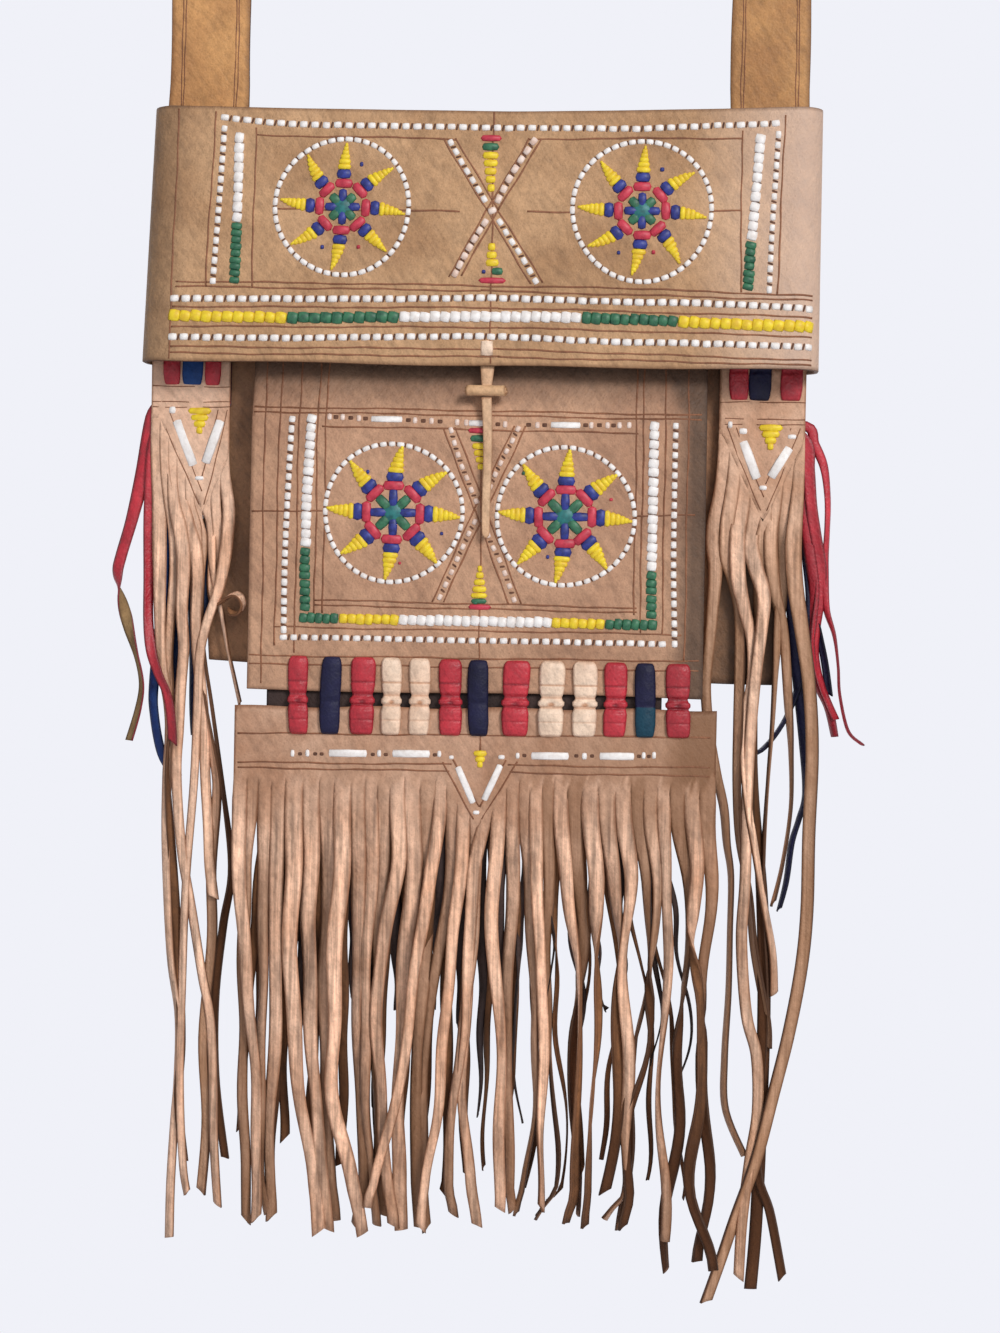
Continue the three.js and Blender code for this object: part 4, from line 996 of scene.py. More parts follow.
# A strip's way down as points of (x, z), with a third number for how far in front where it has its own
# depths. Then its width, how far it lies in front, its turn half way and at its end in degrees, and how
# pale it is, which paints a highlight on some strips and shade on the dark ones seen in the gaps. A last
# number tips the face of a curl up.
TASSELS = {
    "left": dict(left=-150.0, right=-114.0, apex=-126.0, cuts=-141.0, deep=42.0, reach=20.0, tan=[
        ([(-146, -167), (-145.2, -195), (-144.7, -210), (-144.3, -228), (-143.6, -244), (-142.4, -256),
          (-139.6, -270), (-138.8, -284), (-140, -304), (-140, -337), (-137, -385), (-133, -413),
          (-133, -442), (-134, -461), (-135, -489), (-135, -514)], 5.2, 1.5, 10, 35, 0.15),
        ([(-141.6, -173), (-138.6, -193), (-138, -210), (-139.4, -230), (-140.2, -250), (-139, -268),
          (-140, -290), (-139, -314), (-136, -351), (-133, -387), (-131, -424), (-132, -451), (-129, -479)],
          3.8, 0.5, 20, 150, 0.0),
        ([(-138, -180), (-134.6, -196), (-133.4, -210), (-133.8, -228), (-132.6, -245), (-133.6, -262),
          (-134.4, -282), (-135, -303), (-132, -337), (-127, -365), (-122, -394), (-118, -413),
          (-116, -441), (-115, -470), (-113, -498)], 5.2, 3.5, -15, 30, 0.35),
        ([(-133.4, -186), (-129, -200), (-127.4, -212), (-127.8, -230), (-127, -246), (-124.6, -264),
          (-122.6, -284), (-121.6, -304), (-120, -325), (-119, -343), (-117, -358)], 5.6, 2.0, 15, -30,
          0.25),
        ([(-129, -190), (-128.2, -212), (-127.6, -240), (-125, -265), (-118, -299), (-117, -314),
          (-119, -346), (-118, -378), (-121, -422), (-119, -460), (-121, -493)], 4.6, 0.0, 40, 10, -0.3),
        ([(-126, -196), (-126.8, -214), (-126, -240), (-120.6, -274), (-114.6, -312), (-110, -346),
          (-113, -371), (-116, -405), (-115, -441), (-110, -477)], 4.2, -1.0, 90, 170, -0.45),
        ([(-121.6, -192), (-120.8, -208), (-118.6, -220), (-116.6, -229), (-113.6, -245), (-111, -256),
          (-107.6, -270)], 3.2, 1.0, 20, 60, 0.3),
        ([(-118.4, -190, 0), (-120.4, -204, -0.5), (-121, -215, -0.5), (-120.4, -222, -0.3),
          (-118.6, -224.6, 0.8), (-116, -223.6, 2.8), (-113.4, -221.9, 5), (-111, -220.7, 7.2),
          (-108.2, -220.2, 9.4), (-105.6, -221.8, 11), (-104.6, -225, 10.5), (-106.2, -228.2, 9),
          (-109.4, -229.2, 7.5), (-112.4, -227.8, 6.5)], 3.4, 5.0, -50, -60, 0.8, 0.6),
        ([(-113.6, -178), (-114, -196), (-115.4, -209), (-117.4, -219.5), (-120, -227), (-122.8, -236),
          (-125.2, -248), (-126, -272), (-127, -305), (-130, -351), (-131, -396), (-131, -442),
          (-129, -479), (-127, -493)], 4.6, 4.0, -20, 30, 0.3),
    ], red=[
        ([(-149, -140), (-153.5, -165), (-158.6, -187), (-163, -203), (-164.8, -212), (-163.6, -221),
          (-159, -234), (-154, -249), (-151.4, -262), (-153, -274), (-157, -288)], 6.0, 0.5, 20, 236, 0.1),
        ([(-147, -147), (-150, -181), (-150, -215), (-149.6, -233, 2.0), (-147.6, -247, 4.2),
          (-144, -257, 5.2), (-139.8, -266, 5.4), (-137.8, -276, 5.2), (-136.8, -288, 5)], 4.6, 1.0, -30,
          30, 0.0),
        ([(-141, -151), (-145, -206), (-142, -242), (-138, -264), (-137, -286)], 4.0, 0.0, 35, -40, -0.1),
    ], navy=[
        ([(-146, -150), (-143, -178), (-144, -224), (-147, -260), (-147, -275), (-143, -294), (-135, -305)],
         5.2, 0.5, 10, 15, 0.4),
        ([(-141, -150), (-140, -190), (-139.6, -215), (-138.4, -242), (-137, -264)], 7.0, 0.0, 8, 15, -1.5),
        ([(-131, -150), (-130, -205), (-129.4, -241), (-129, -267), (-128.4, -284)], 5.6, 0.0, -10, 30,
         -1.5),
        ([(-122, -150), (-122.6, -195), (-123, -212), (-124, -224), (-125, -232)], 5.4, 0.0, 10, -15, -1.5),
    ], areas=(0.0154, 0.0034, 0.0048), darkening=0.25),
    "right": dict(left=107.0, right=145.6, apex=127.5, cuts=-144.0, deep=39.0, reach=19.0, tan=[
        ([(107.4, -172), (105.4, -190), (106.8, -204), (106.2, -218), (104.6, -241), (103.6, -258),
          (105.6, -278), (109, -296), (112.6, -312), (114, -328), (116, -343), (116, -367), (116, -395),
          (115, -424), (116, -448), (125, -469)], 5.0, 1.0, 12, 60, -0.3),
        ([(112, -180), (111.6, -198), (114.8, -209), (118, -224), (118.6, -245), (118.4, -270),
          (118.4, -301), (120, -326), (125, -350), (128, -376), (134, -406), (135, -419)], 4.8, 0.5, 30, 60,
          -0.5),
        ([(116.4, -186), (117, -207), (120, -221), (124, -236), (124.8, -252), (122.8, -268), (122.4, -288),
          (124.6, -310), (128, -329), (132, -351), (137, -376), (138, -395)], 5.6, 2.5, -20, -50, 0.9),
        ([(122, -191), (124.6, -203), (128.6, -216), (128, -230), (125.8, -250), (124, -276), (123, -308),
          (123, -344), (122, -371), (125, -404), (130, -423), (131, -448), (128, -470), (125, -498),
          (124, -523)], 5.6, 4.2, 15, 10, 0.75),
        ([(127.8, -192), (127.4, -208), (126, -236), (126, -272), (127, -308), (131, -353), (133, -398),
          (133, -443), (132, -498), (130, -529)], 5.8, -1.0, 100, 190, -1.0),
        ([(131.2, -190), (133.4, -213), (137.4, -230), (139.4, -249), (140.4, -266), (141.4, -284),
          (142, -310), (139, -335), (135, -354)], 5.0, 1.0, 25, 80, -0.5),
        ([(137, -184), (137.4, -203), (136, -236), (135, -272), (133, -308), (132, -353), (134, -398),
          (133, -434), (132, -474), (138, -494), (144, -523)], 4.8, -0.5, -80, -165, -0.6),
        ([(141.4, -184), (142, -207), (145.6, -230), (149.6, -256), (151.6, -286), (151, -323), (151, -357),
          (149, -383), (144, -413), (138, -440), (131, -470), (122, -497), (116, -516), (110, -534)], 5.6,
          4.5, 15, -20, -0.4),
    ], red=[
        ([(145, -139), (150, -148), (154.6, -158), (156.8, -172), (157, -186), (156.2, -202), (156.6, -221),
          (160, -234), (162, -247), (163, -260), (167, -276), (173, -282)], 3.6, 0.5, -40, 85, 0.15),
        ([(144.6, -146), (147.4, -160), (149.2, -176), (151.6, -190), (154, -203), (154, -216),
          (152.4, -230), (152.2, -242), (155.4, -256), (162, -271)], 5.0, 1.0, 12, -40, 0.0),
        ([(141, -151), (145.4, -176), (148.6, -196), (151, -212), (150.4, -226), (149.6, -238),
          (152.6, -254), (158.4, -266), (161.4, -279)], 5.4, 0.0, 15, 50, -0.15),
    ], navy=[
        ([(142, -160), (148, -200), (150, -222), (148, -245), (140, -269), (130, -284), (121, -288)], 4.6,
         0.0, -20, 60, 0.0),
        ([(140, -170), (146, -190), (150.6, -218), (154, -233), (156.8, -246), (159, -260)], 3.2, 0.3, 50,
         30, -0.4),
        ([(134, -165), (138.4, -190), (140.6, -215), (143, -240), (147.6, -280), (149, -304), (146, -316),
          (143, -327), (141, -344), (138, -357)], 5.0, 1.5, 15, 70, 0.3),
    ], areas=(0.0154, 0.004, 0.0038), darkening=0.97),
}


def tassel_layer(sides, strips, face, cuts, hold, darkening):
    """A head as wide as the tassel, and its strips: side by side down to hold, then each on its own way."""
    def head(across, down):
        x = sides["left"] + (sides["right"] - sides["left"]) * across
        z = TASSEL_TOP + (cuts(x) - TASSEL_TOP) * down
        return Vector((x, face + 0.25 * math.sin(x * 0.3 + down * 3), z))

    count = len(strips)
    layer = cut_leather(3 * count, 12, head, head_rim, lambda across, down: -0.3 * darkening)
    for i, (way, wide, fore, half_turn, end_turn, tone, *lean) in enumerate(strips):
        root = head((i + 0.5) / count, 1.0)
        points = [root]
        for x, z, *own in way:
            free = min(1.0, (root.z - z) / 60)
            near = own[0] if own else fore * free
            points.append(Vector((x, face - near - 0.8 * free * math.sin(z * 0.045 + i * 2), z)))
        held = next(k for k in range(101) if smooth_line(points, k / 100).z < hold) / 100

        def route(t):
            return smooth_line(points, t)

        def width(t):
            return wide * (1.3 - 0.3 * eased((t - held) / 0.2) - 0.1 * t)

        def turn(t):
            swing = half_turn * eased(t / 0.45) + (end_turn - half_turn) * eased((t - 0.4) / 0.35)
            return math.radians(eased((t - held) / 0.16) * (swing + 10 * t * math.sin(11 * t + i)))

        def shade(across, down):
            # A strip's tone paints a highlight on some strips and shade on the dark ones seen in the gaps;
            # each darkens towards its tip.
            shaded_tone = tone * eased(down / 0.3) - darkening * (0.3 + 0.7 * eased(down / 0.6)) - 0.2 * down
            return max(-1.0 if darkening else -1.6, shaded_tone + 0.15 * math.sin(down * 9 + i) * min(1.0, down * 4))

        cup, slant = 0.5 if i % 3 == 1 else -0.6, 4 * (vary(i + wide) - 0.5)
        rows = 6 * len(points)
        hang_strip(layer, i / count, (i + 1) / count, head, rows, route, width, turn, shade, cup, slant,
                   0.1, *lean)
    bmesh.ops.remove_doubles(layer, verts=layer.verts, dist=0.01)
    return layer


def tassel_cuts(sides, x):
    return sides["cuts"] - sides["deep"] * max(0.0, 1 - abs(x - sides["apex"]) / sides["reach"])


for side, sides in TASSELS.items():
    blue = blue_hide if side == "left" else navy_hide
    layers = [("tan", [tassel_hide, fringe_flesh, fringe_cut], TASSEL_FACE, 1.2),
              ("red", [red_hide, dyed_flesh, red_hide], -1.9, 0.8),
              ("navy", [blue, dyed_flesh, blue], -0.8, 0.8)]
    for (kind, finishes, face, thick), area in zip(layers, sides["areas"]):
        in_front = kind == "tan"
        darkening = sides["darkening"] if in_front else 0.0
        cuts, hold = (partial(tassel_cuts, sides), -196.0) if in_front else (lambda x: -134.0, -145.0)
        layer = tassel_layer(sides, sides[kind], face, cuts, hold, darkening)
        node_name = "tassel_%s_%s" % (side, "front" if in_front else kind)
        layer_piece = fit(layer, "%s_tassel_%s" % (side, kind), finishes, "bag", kind + "_leather",
                          node_name)
        thicken(layer_piece, thick, round_off=0.0)


def tassel_skin(x, z):
    down = min(1.0, (TASSEL_TOP - z) / 40)
    return Vector((x, TASSEL_FACE + 0.25 * math.sin(x * 0.3 + 3 * down), z))


press_lines("tassel_pressed_lines", tassel_skin, "bag", wide=0.45, seed=80.2, runs=[
    ((-149.6, -126.7), (-114.2, -126.4)), ((-149.5, -133.6), (-114, -133.2)),
    ((-149.4, -136), (-114, -135.6)), ((-146.5, -138), (-127.6, -180)), ((-141.6, -138), (-126.4, -174)),
    ((-115, -137), (-125, -180)), ((-119.6, -137), (-126.4, -168)), ((107.3, -129.9), (145.6, -129.2)),
    ((107.2, -137.3), (145.5, -136.8)), ((107.3, -139.7), (145.5, -139.2)),
    ((110.6, -140.6), (126.4, -178)), ((115, -141), (127.6, -172)), ((143.6, -141), (129, -178)),
    ((139.4, -141), (128.4, -166)),
])
# Each head's white V in two bars, small white bits, and a yellow point in rows of a height and a width.
for side, bars, dots, middle, rows in [
    ("left", [((-138.4, -141.8), (-130.3, -162.6)), ((-118.2, -141.5), (-124.9, -161.4))],
     [(-140.3, -137.4, 3.2, 3.4), (-127.5, -168, 4.2, 2.0)],
     -127.9, [(-137.6, 11.0), (-140.6, 8.4), (-143.5, 5.6), (-146.4, 3.0)]),
    ("right", [((117.9, -146.9), (124.5, -164)), ((138.8, -149.4), (130.6, -163.2))],
     [(112, -139.8, 2.2, 3.2), (117.9, -142.6, 3.8, 3.0), (139.7, -144.7, 4.0, 2.2),
      (127.3, -167.8, 3.6, 2.2)],
     130.2, [(-140.9, 11.2), (-143.8, 8.4), (-146.6, 5.4), (-149.2, 2.8)]),
]:
    white, coloured = bmesh.new(), bmesh.new()
    for start, end in bars:
        lace_bar(white, tassel_skin, start, end, wide=4.5)
    for x, z, wide, tall in dots:
        stitch(white, tassel_skin, x, z, 0.0, wide, tall, high=0.6, finish=WHITE)
    for z, wide in rows:
        stitch(coloured, tassel_skin, middle, z, 0.0, wide, 3.3, high=0.7, finish=YELLOW)
    fit(white, side + "_tassel_white_lacing", [white_lace], "bag", "white_lace", "tassel_%s_chevron" % side)
    fit(coloured, side + "_tassel_yellow_lacing", [yellow_lace], "bag", "yellow_lace")
for side, bottom, loops in [
    ("left", -126.4, [(-140.8, 8.0), (-130.8, 9.8), (-122, 7.6)]),
    ("right", -129.4, [(115.4, 9.0), (125.4, 10.4), (139, 10.2)]),
]:
    blue = blue_hide if side == "left" else navy_hide
    for number, (x, wide) in enumerate(loops, 1):
        hide, kind = (blue, "navy_leather") if number == 2 else (red_hide, "red_leather")
        loop = lacing_loop(x, wide, top=-97.2, bottom=bottom, face=-3.6, back=1.4, swell=1.4,
                           outline=PLAIN_LOOP, seed=number)
        names = "%s_tassel_lacing_%d" % (side, number), "tassel_%s_lacing_%d" % (side, number)
        thicken(fit(loop, names[0], [hide, dyed_flesh, hide], "bag", kind, names[1]), 0.9, round_off=0.0)

# The sliding cover: a wide sleeve of tan leather round the pouch's top and the strap's two legs, open above
# and below. It is soft with use, so its top edge dips, its left end leans in, and its face swells a little.
cover_hide = leather("cover_leather", dye(204, 162, 123), dye(174, 133, 97), dye(98, 63, 42), creased=0.003)
COVER_HALF, COVER_CORNER, COVER_FACE, COVER_REAR = 151.0, 12.0, -23.8, 6.4
COVER_FLAT, COVER_ARC = COVER_HALF - COVER_CORNER, math.pi / 2 * COVER_CORNER
COVER_END = COVER_REAR - COVER_FACE - 2 * COVER_CORNER
COVER_ROUND = 4 * COVER_FLAT + 4 * COVER_ARC + 2 * COVER_END


def cover_skin(run, z):
    """The cover's outside, run round it from the middle of its front, at a height."""
    a = abs(run)
    if a <= COVER_FLAT:
        x, y = a, COVER_FACE
    elif a <= COVER_FLAT + COVER_ARC:
        t = (a - COVER_FLAT) / COVER_CORNER
        x, y = COVER_FLAT + COVER_CORNER * math.sin(t), COVER_FACE + COVER_CORNER * (1 - math.cos(t))
    elif a <= COVER_FLAT + COVER_ARC + COVER_END:
        x, y = COVER_HALF, COVER_FACE + COVER_CORNER + (a - COVER_FLAT - COVER_ARC)
    elif a <= COVER_FLAT + 2 * COVER_ARC + COVER_END:
        t = (a - COVER_FLAT - COVER_ARC - COVER_END) / COVER_CORNER
        x, y = COVER_FLAT + COVER_CORNER * math.cos(t), COVER_REAR - COVER_CORNER * (1 - math.sin(t))
    else:
        x, y = COVER_FLAT - (a - COVER_FLAT - 2 * COVER_ARC - COVER_END), COVER_REAR
    x = math.copysign(x, run)
    down = clamp(-z / 116)
    x *= (0.981 + 0.03 * down) if x < 0 else (0.992 + 0.004 * down)
    front = 1.0 if a < COVER_FLAT + COVER_ARC else 0.0
    ends = max(0.0, 1 - (x / 139) ** 2)
    swell = -0.9 * math.sin(math.pi * down)
    lie = 0.28 * math.sin(x * 0.06 + 0.5) + 0.16 * math.sin(x * 0.13 - z * 0.07)
    lip = 1.1 * max(0.0, 1.3 + z / 7) ** 2
    y += front * ends * (swell + lie + lip)
    y += (1 - front) * 0.4 * ends * math.sin(x * 0.05 + z * 0.03)
    return Vector((x, y, z))


def cover_top(x):
    return -3.6 - 0.8 * math.cos(x * 0.012) + 2.6 * max(0.0, (x - 10) / 140) ** 1.3


def cover_shape(across, down):
    run = (across - 0.5) * COVER_ROUND
    x = cover_skin(run, 0).x
    top = cover_top(x)
    bottom = -116.6 - 0.5 * math.cos(x * 0.011) + 0.35 * math.sin(x * 0.06)
    return cover_skin(run, top + (bottom - top) * down)


def cover_painted_shade(across, down):
    """Painted shade round its left end, which turns away from the light."""
    run = (across - 0.5) * COVER_ROUND
    return -0.7 * eased((-run - 128) / 14) * eased((260 + run) / 70)


def cover_rim(v, across, down):
    return 1.0 if down < 0.001 or down > 0.999 else 0.0


cover = cut_leather(248, 44, cover_shape, cover_rim, cover_painted_shade)
bmesh.ops.remove_doubles(cover, verts=cover.verts, dist=0.01)
# The cover's right end is painted paler: a painted highlight where the light falls on it.
painted_glare = cover.verts.layers.float["painted_glare"]
for v in cover.verts:
    v[painted_glare] = clamp((v.co.x - 92) / 46)
cover_piece = fit(cover, "cover", [cover_hide, tan_flesh, tan_cut], "cover", "tan_leather", "sliding_cover")
thicken(cover_piece, 2.0)

press_lines("cover_pressed_lines", cover_skin, "cover", wide=0.75, seed=100.4, runs=[
    ((-138.4, -5), (-137.4, -116)), ((-121.6, -6), (-122.6, -84)), ((-103, -13), (-101.8, -84)),
    ((114.6, -12), (115.4, -83)), ((133.6, -5), (131.4, -84)), ((-102.5, -16.4), (-12, -17.2)),
    ((20, -16.8), (115, -15.4)), ((-136, -81.6), (-60, -81.6)), ((-60, -81.6), (60, -82)),
    ((60, -82), (148, -84)), ((-136, -83.8), (0, -84)), ((0, -84), (148, -86)), ((-92, -49), (-10, -49.2)),
    ((20, -49), (40, -48.8)), ((101, -47.4), (115, -47)), ((-137, -92.8), (8, -91.4)),
    ((8, -91.4), (148, -93.4)), ((-137, -101.6), (8, -100)), ((8, -100), (148, -102)),
    ((-137, -110.6), (8, -109.6)), ((8, -109.6), (148, -112.4)), ((-137, -113.4), (8, -113)),
    ((8, -113), (148, -114.6)), ((4.4, -5), (4.8, -116)), ((-18, -17), (2.0, -48.6)),
    ((2.0, -48.6), (-14.4, -78)), ((-12.6, -16.8), (7, -48.4)), ((7, -48.4), (27.6, -80)),
    ((25.6, -16.6), (7, -48.4)), ((20.2, -16.4), (2.0, -48.6)), ((2.0, -48.6), (22.4, -80.6)),
    ((7, -48.4), (-8.6, -77.6)),
])

# The cover's pattern, laced like the pouch's: a frame, two ringed stars, a cross between them, and along
# the lower edge two white rows with a broad coloured one between.
white = bmesh.new()
lace_rows(white, cover_skin, [
    (21, [(-120, -8.6), (-88, -11.2), (-55, -11.6), (-25, -11.8), (5, -12), (36, -11.8), (67, -11.8),
          (98, -10.2), (132, -8.6)], 49, 3.6, 2.9),
    (22, [(-117.4, -11.4), (-117.9, -34), (-118.6, -58), (-119.4, -83.4)], 16, 3.1, 2.8),
    (23, [(130.8, -11.4), (129.9, -30), (128.6, -56), (127.8, -83.8)], 16, 3.1, 2.6),
])
lace_rows(white, cover_skin, [
    (24, [(-110.5, -15.4), (-110.2, -28), (-109.9, -42), (-109.8, -55)], 9, 4.5, 4.7),
    (25, [(122.9, -13.4), (121.9, -29), (120.8, -45), (119.7, -60.2)], 11, 4.5, 4.5),
], high=0.8, across=True)
lace_rows(white, cover_skin, [
    (26, [(-138.6, -89.3), (-90, -88.7), (-41, -88.2), (8, -87.1), (56, -87.9), (102, -88.2),
          (148.6, -89.7)], 57, 3.9, 3.2),
    (27, [(-138.6, -106.3), (-90, -106.1), (-41, -105), (8, -104.1), (56, -105.5), (102, -105.8),
          (148.6, -106.5)], 57, 3.9, 3.1),
], high=0.85)
lace_rows(white, cover_skin, [
    (28, [(-35.6, -96.1), (-10, -95.5), (16, -95.1), (44.8, -95.2)], 18, 4.9, 4.85),
], **BROAD)
lace_ring(white, cover_skin, -62.6, -47.7, radius=30, count=48, long=3.3, wide=2.4, seed=5)
lace_ring(white, cover_skin, 71, -47.9, radius=30.8, count=49, long=3.3, wide=2.4, seed=6)
for seed, (arm, finish, size) in enumerate([
    ([(-16, -16.6), (-10.6, -25.9), (-4.8, -35), (2, -45.6)], WHITE, 3.2),
    ([(6.6, -51.6), (12.8, -61.1), (18.6, -69.8), (25.6, -81.4)], WHITE, 3.2),
    ([(23.6, -15.6), (17.4, -25), (11.6, -34.6), (6, -45.6)], PINK, 3.8),
    ([(2.4, -52), (-3, -60.8), (-7.6, -69), (-12.4, -78.4)], PINK, 3.6),
]):
    lace_row(white, cover_skin, arm, count=7, long=size, wide=size * 0.82, high=0.7, finish=finish,
             seed=30 + seed)
stitch(white, cover_skin, 4.4, -48.6, 0.4, long=4.0, wide=3.2, high=0.9, finish=PINK)
fit(white, "cover_white_lacing", WHITE_LACES, "cover", "white_lace", "cover_ring_left", "cover_ring_right",
    "cover_cross", "cover_border", "cover_row_upper", "cover_row_lower")

coloured = bmesh.new()
for points, count, finish in [
    ([(-138.2, -96.6), (-121, -96.9), (-103, -97), (-86, -97)], 11, YELLOW),
    ([(-85.6, -97), (-69, -96.8), (-52, -96.4), (-36, -96.1)], 10, GREEN),
    ([(45.2, -95.2), (59, -95.5), (73, -95.8), (87.6, -96.2)], 10, GREEN),
    ([(88, -96.2), (108, -96.9), (128, -97.3), (148.6, -97.5)], 13, YELLOW),
]:
    start, end = points[0][0], points[-1][0]
    lace_row(coloured, cover_skin, points, count, long=5.2, wide=(end - start) / count * 1.1, finish=finish,
             seed=start, **BROAD)
lace_rows(coloured, cover_skin, [
    (41, [(-109.8, -55.4), (-109.7, -64), (-109.7, -73), (-109.7, -82.2)], 9, 5.0, 3.3),
    (42, [(119.5, -60.8), (119.1, -67), (118.8, -74), (118.4, -82.2)], 7, 5.0, 3.35),
], finish=GREEN, **BROAD)
lace_star(coloured, cover_skin, -62.6, -47.7, reach=27.6, rays=[88, 38, -6, -44, -98, -143, -186, -234],
          seed=7, broad=0.94)
lace_star(coloured, cover_skin, 71, -47.9, reach=28, rays=[88, 37, -5, -53, -98, -146, -183, -229], seed=8,
          broad=0.94)
for x, z, wide, tall, finish in [
    (3.3, -16.6, 9.6, 3.0, RED), (3.1, -20.4, 7.8, 3.6, GREEN), (3.2, -24.2, 7.4, 3.4, YELLOW),
    (3.3, -27.6, 6.6, 3.4, YELLOW), (3.3, -31.2, 5.6, 3.4, YELLOW), (3.4, -34.8, 4.6, 3.4, YELLOW),
    (3.7, -38.6, 3.4, 3.6, YELLOW), (4.5, -64.6, 3.4, 3.6, YELLOW), (4.6, -68.2, 4.8, 3.4, YELLOW),
    (4.9, -71.6, 6.0, 3.4, YELLOW), (7.2, -75.3, 5.2, 3.4, GREEN), (5.0, -79.4, 12.4, 2.8, RED),
    (1.2, -75.6, 1.8, 1.8, BLUE), (-54.6, -28.8, 1.6, 2.2, BLUE), (-71, -65.6, 1.7, 2.0, BLUE),
    (-54.8, -65.4, 1.6, 1.8, RED), (79.6, -29.6, 2.0, 2.0, BLUE), (61, -66.4, 1.6, 1.8, BLUE),
    (76.4, -66, 1.7, 1.9, RED),
]:
    stitch(coloured, cover_skin, x, z, 0.0, wide, tall, high=0.85, finish=finish)
fit(coloured, "cover_coloured_lacing", COLOURED_LACES, "cover", "yellow_lace", "cover_star_left",
    "cover_star_right", "cover_row_coloured")

# The closing thong: a strip of natural leather laced through the cover's lower edge, with a rolled leather
# toggle on it and a flat tail that hangs in front of the pouch.
thong_hide = leather("thong_leather", dye(228, 188, 152), dye(204, 160, 124), dye(140, 92, 62), rough=0.5)
toggle_hide = leather("toggle_leather", dye(230, 188, 146), dye(202, 158, 118), dye(140, 94, 64), rough=0.5)
THONG_X, THONG_FACE, TAIL_TOP = 3.5, -23.4, -130.9


def thong_shape(across, down):
    c = 2 * across - 1
    z = -103 - 23.4 * down
    half = 3.3 - clamp((down - 0.55) / 0.45)
    y = -21.3 - 2.4 * clamp((down - 0.6) / 0.4) + 0.3 * c * c
    return Vector((THONG_X + c * half, y, z))


thong_finishes = [thong_hide, dyed_flesh, thong_hide]
thong = cut_leather(4, 20, thong_shape)
thicken(fit(thong, "thong", thong_finishes, "cover", "cream_leather", "closing_thong"), 1.0, round_off=0.25)
block = bmesh.new()
stitch(block, cover_skin, THONG_X - 0.3, -109.2, math.pi / 2, long=6.8, wide=5.8, high=0.9, blunt=0.2,
       square=0.25)
fit(block, "thong_stitch", [cream_hide], "cover", "cream_leather")


def toggle_shape(across, down):
    turns = 2.3 * math.tau * down
    radius = 0.75 + 2.1 * down
    half = 9.2 - 1.6 * max(0.0, down - 0.35) ** 1.2
    c = 2 * across - 1
    x = THONG_X - 0.2 + c * half + 0.3 * math.sin(turns)
    y = THONG_FACE + radius * math.sin(turns) + 0.25 * math.cos(turns) * c
    return Vector((x, y, -128.1 + radius * math.cos(turns)))


toggle = cut_leather(14, 56, toggle_shape)
toggle_piece = fit(toggle, "toggle", 3 * [toggle_hide], "cover", "cream_leather", "toggle_bar")
thicken(toggle_piece, 0.75, round_off=0.0, side=1.0)


def tail_line(t):
    x = THONG_X + 1.5 * t + 0.5 * math.sin(t * 5)
    y = THONG_FACE - 0.2 - 0.9 * math.sin(math.pi * t) - 0.5 * t
    return Vector((x, y, TAIL_TOP - 62.4 * t))


def tail_shape(across, down):
    c = 2 * across - 1
    tip = max(0.0, (down - 0.95) / 0.05)
    half = (2.3 - 0.5 * down) * math.sqrt(max(0.04, 1 - 0.9 * tip * tip))
    turn = 0.25 * math.sin(down * 4)
    aside = Vector((c * half * math.cos(turn), -c * half * math.sin(turn) + 0.2 * c * c, 0))
    return tail_line(down) + aside


tail = cut_leather(4, 44, tail_shape)
tail_piece = fit(tail, "thong_hanging_tail", thong_finishes, "cover", "cream_leather", "thong_tail")
thicken(tail_piece, 1.1, round_off=0.25)

# Light, surroundings and floor: a broad soft lamp high in front, weaker ones ahead and behind, and an even
# sky that looks like a pale wall. The floor is far enough below the hanging bag to stay out of the picture.


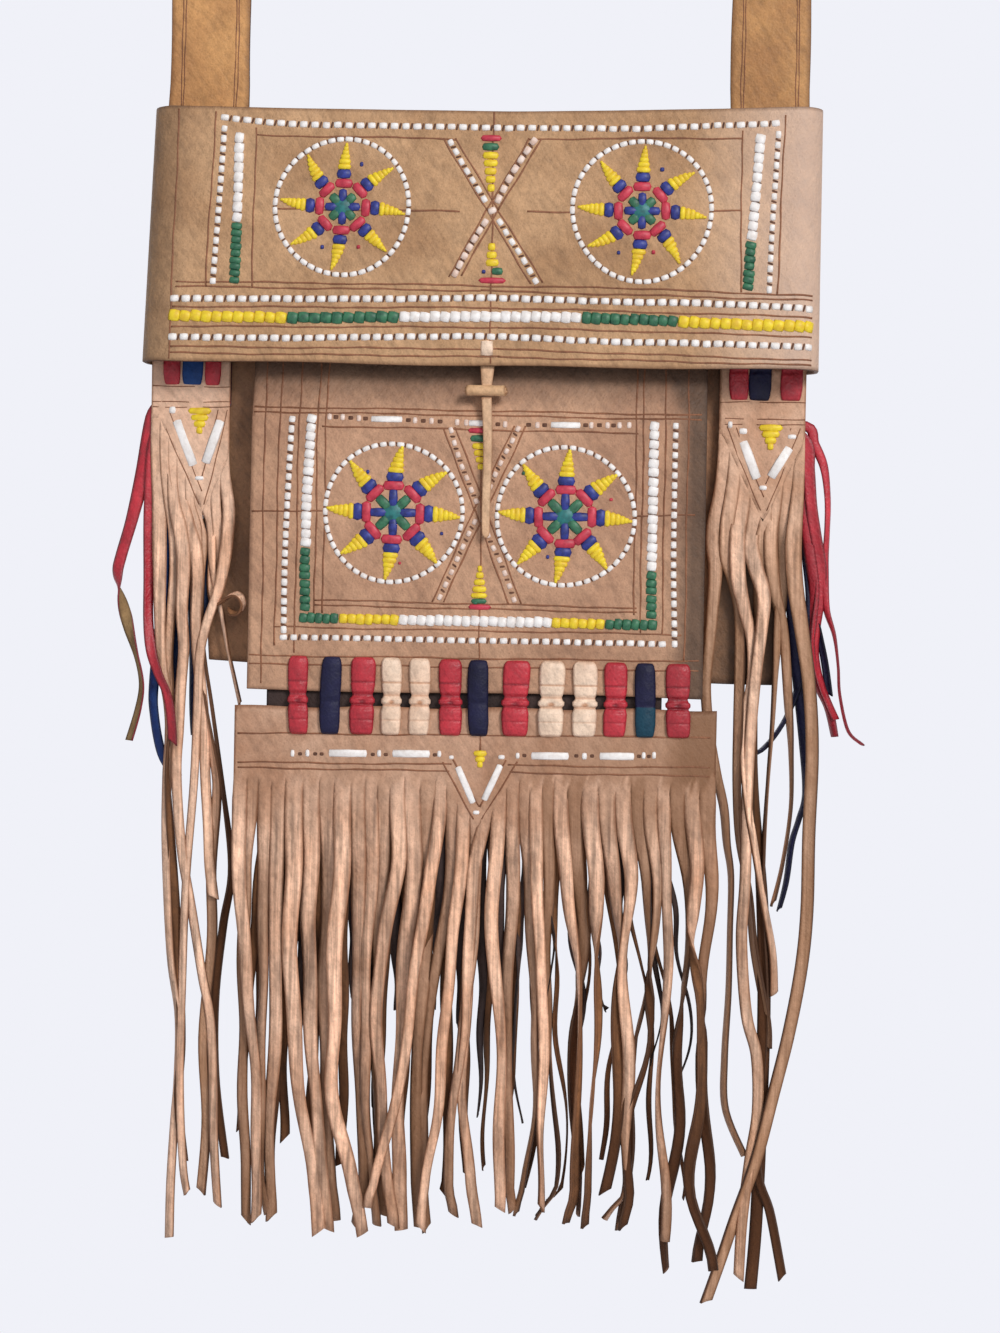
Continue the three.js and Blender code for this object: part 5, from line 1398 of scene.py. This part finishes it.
def lamp(name, spot, aim, size, power, colour):
    light = bpy.data.lights.new(name, "AREA")
    light.shape, light.size, light.energy, light.color = "DISK", size, power, colour
    shining = bpy.data.objects.new(name, light)
    shining.location = spot
    shining.rotation_euler = (aim - spot).to_track_quat("-Z", "Y").to_euler()
    bpy.context.scene.collection.objects.link(shining)


middle = place(0, 0, -220)
lamp("window_light", place(1900, -3000, 1700), middle, size=1.3, power=104, colour=(1.0, 0.985, 0.96))
lamp("front_light", place(100, -3000, 300), middle, size=2.2, power=13, colour=(1.0, 0.99, 0.98))
lamp("rear_light", place(-700, 2600, 1500), middle, size=2.2, power=60, colour=(0.97, 0.98, 1.0))
world = bpy.data.worlds.new("pale_room")
world.use_nodes = True
bpy.context.scene.world = world
put, node = node_tools(world.node_tree)
sky = world.node_tree.nodes["Background"]
put(sky.inputs["Color"], (0.94, 0.96, 1.0, 1.0))
put(sky.inputs["Strength"], 0.28)
wall = node("Background", {"Color": dye(240, 241, 248)})
ray = node("LightPath", {}).outputs
through = {0: ray["Is Camera Ray"], 1: ray["Is Transmission Ray"]}
through_or_mirrored = {0: node("Math", through, operation="MAXIMUM").outputs[0], 1: ray["Is Glossy Ray"]}
sees_wall = node("Math", through_or_mirrored, operation="MAXIMUM").outputs[0]
choose = node("MixShader", {0: sees_wall, 1: sky.outputs[0], 2: wall.outputs[0]})
put(world.node_tree.nodes["World Output"].inputs["Surface"], choose.outputs[0])

floor = bmesh.new()
bmesh.ops.create_circle(floor, cap_ends=True, segments=96, radius=850)
bmesh.ops.translate(floor, vec=(0, 0, -790 - STRAP_DROP), verts=floor.verts)
bmesh.ops.scale(floor, vec=(0.001, 0.001, 0.001), verts=floor.verts)
floor_mesh = bpy.data.meshes.new("floor")
floor.to_mesh(floor_mesh)
floor.free()
floor_mesh.materials.append(lace("floor_paint", dye(236, 236, 240), dye(230, 230, 234), rough=0.8))
floor_piece = bpy.data.objects.new("floor", floor_mesh)
bpy.context.scene.collection.objects.link(floor_piece)

bpy.context.scene.view_settings.view_transform = "Standard"
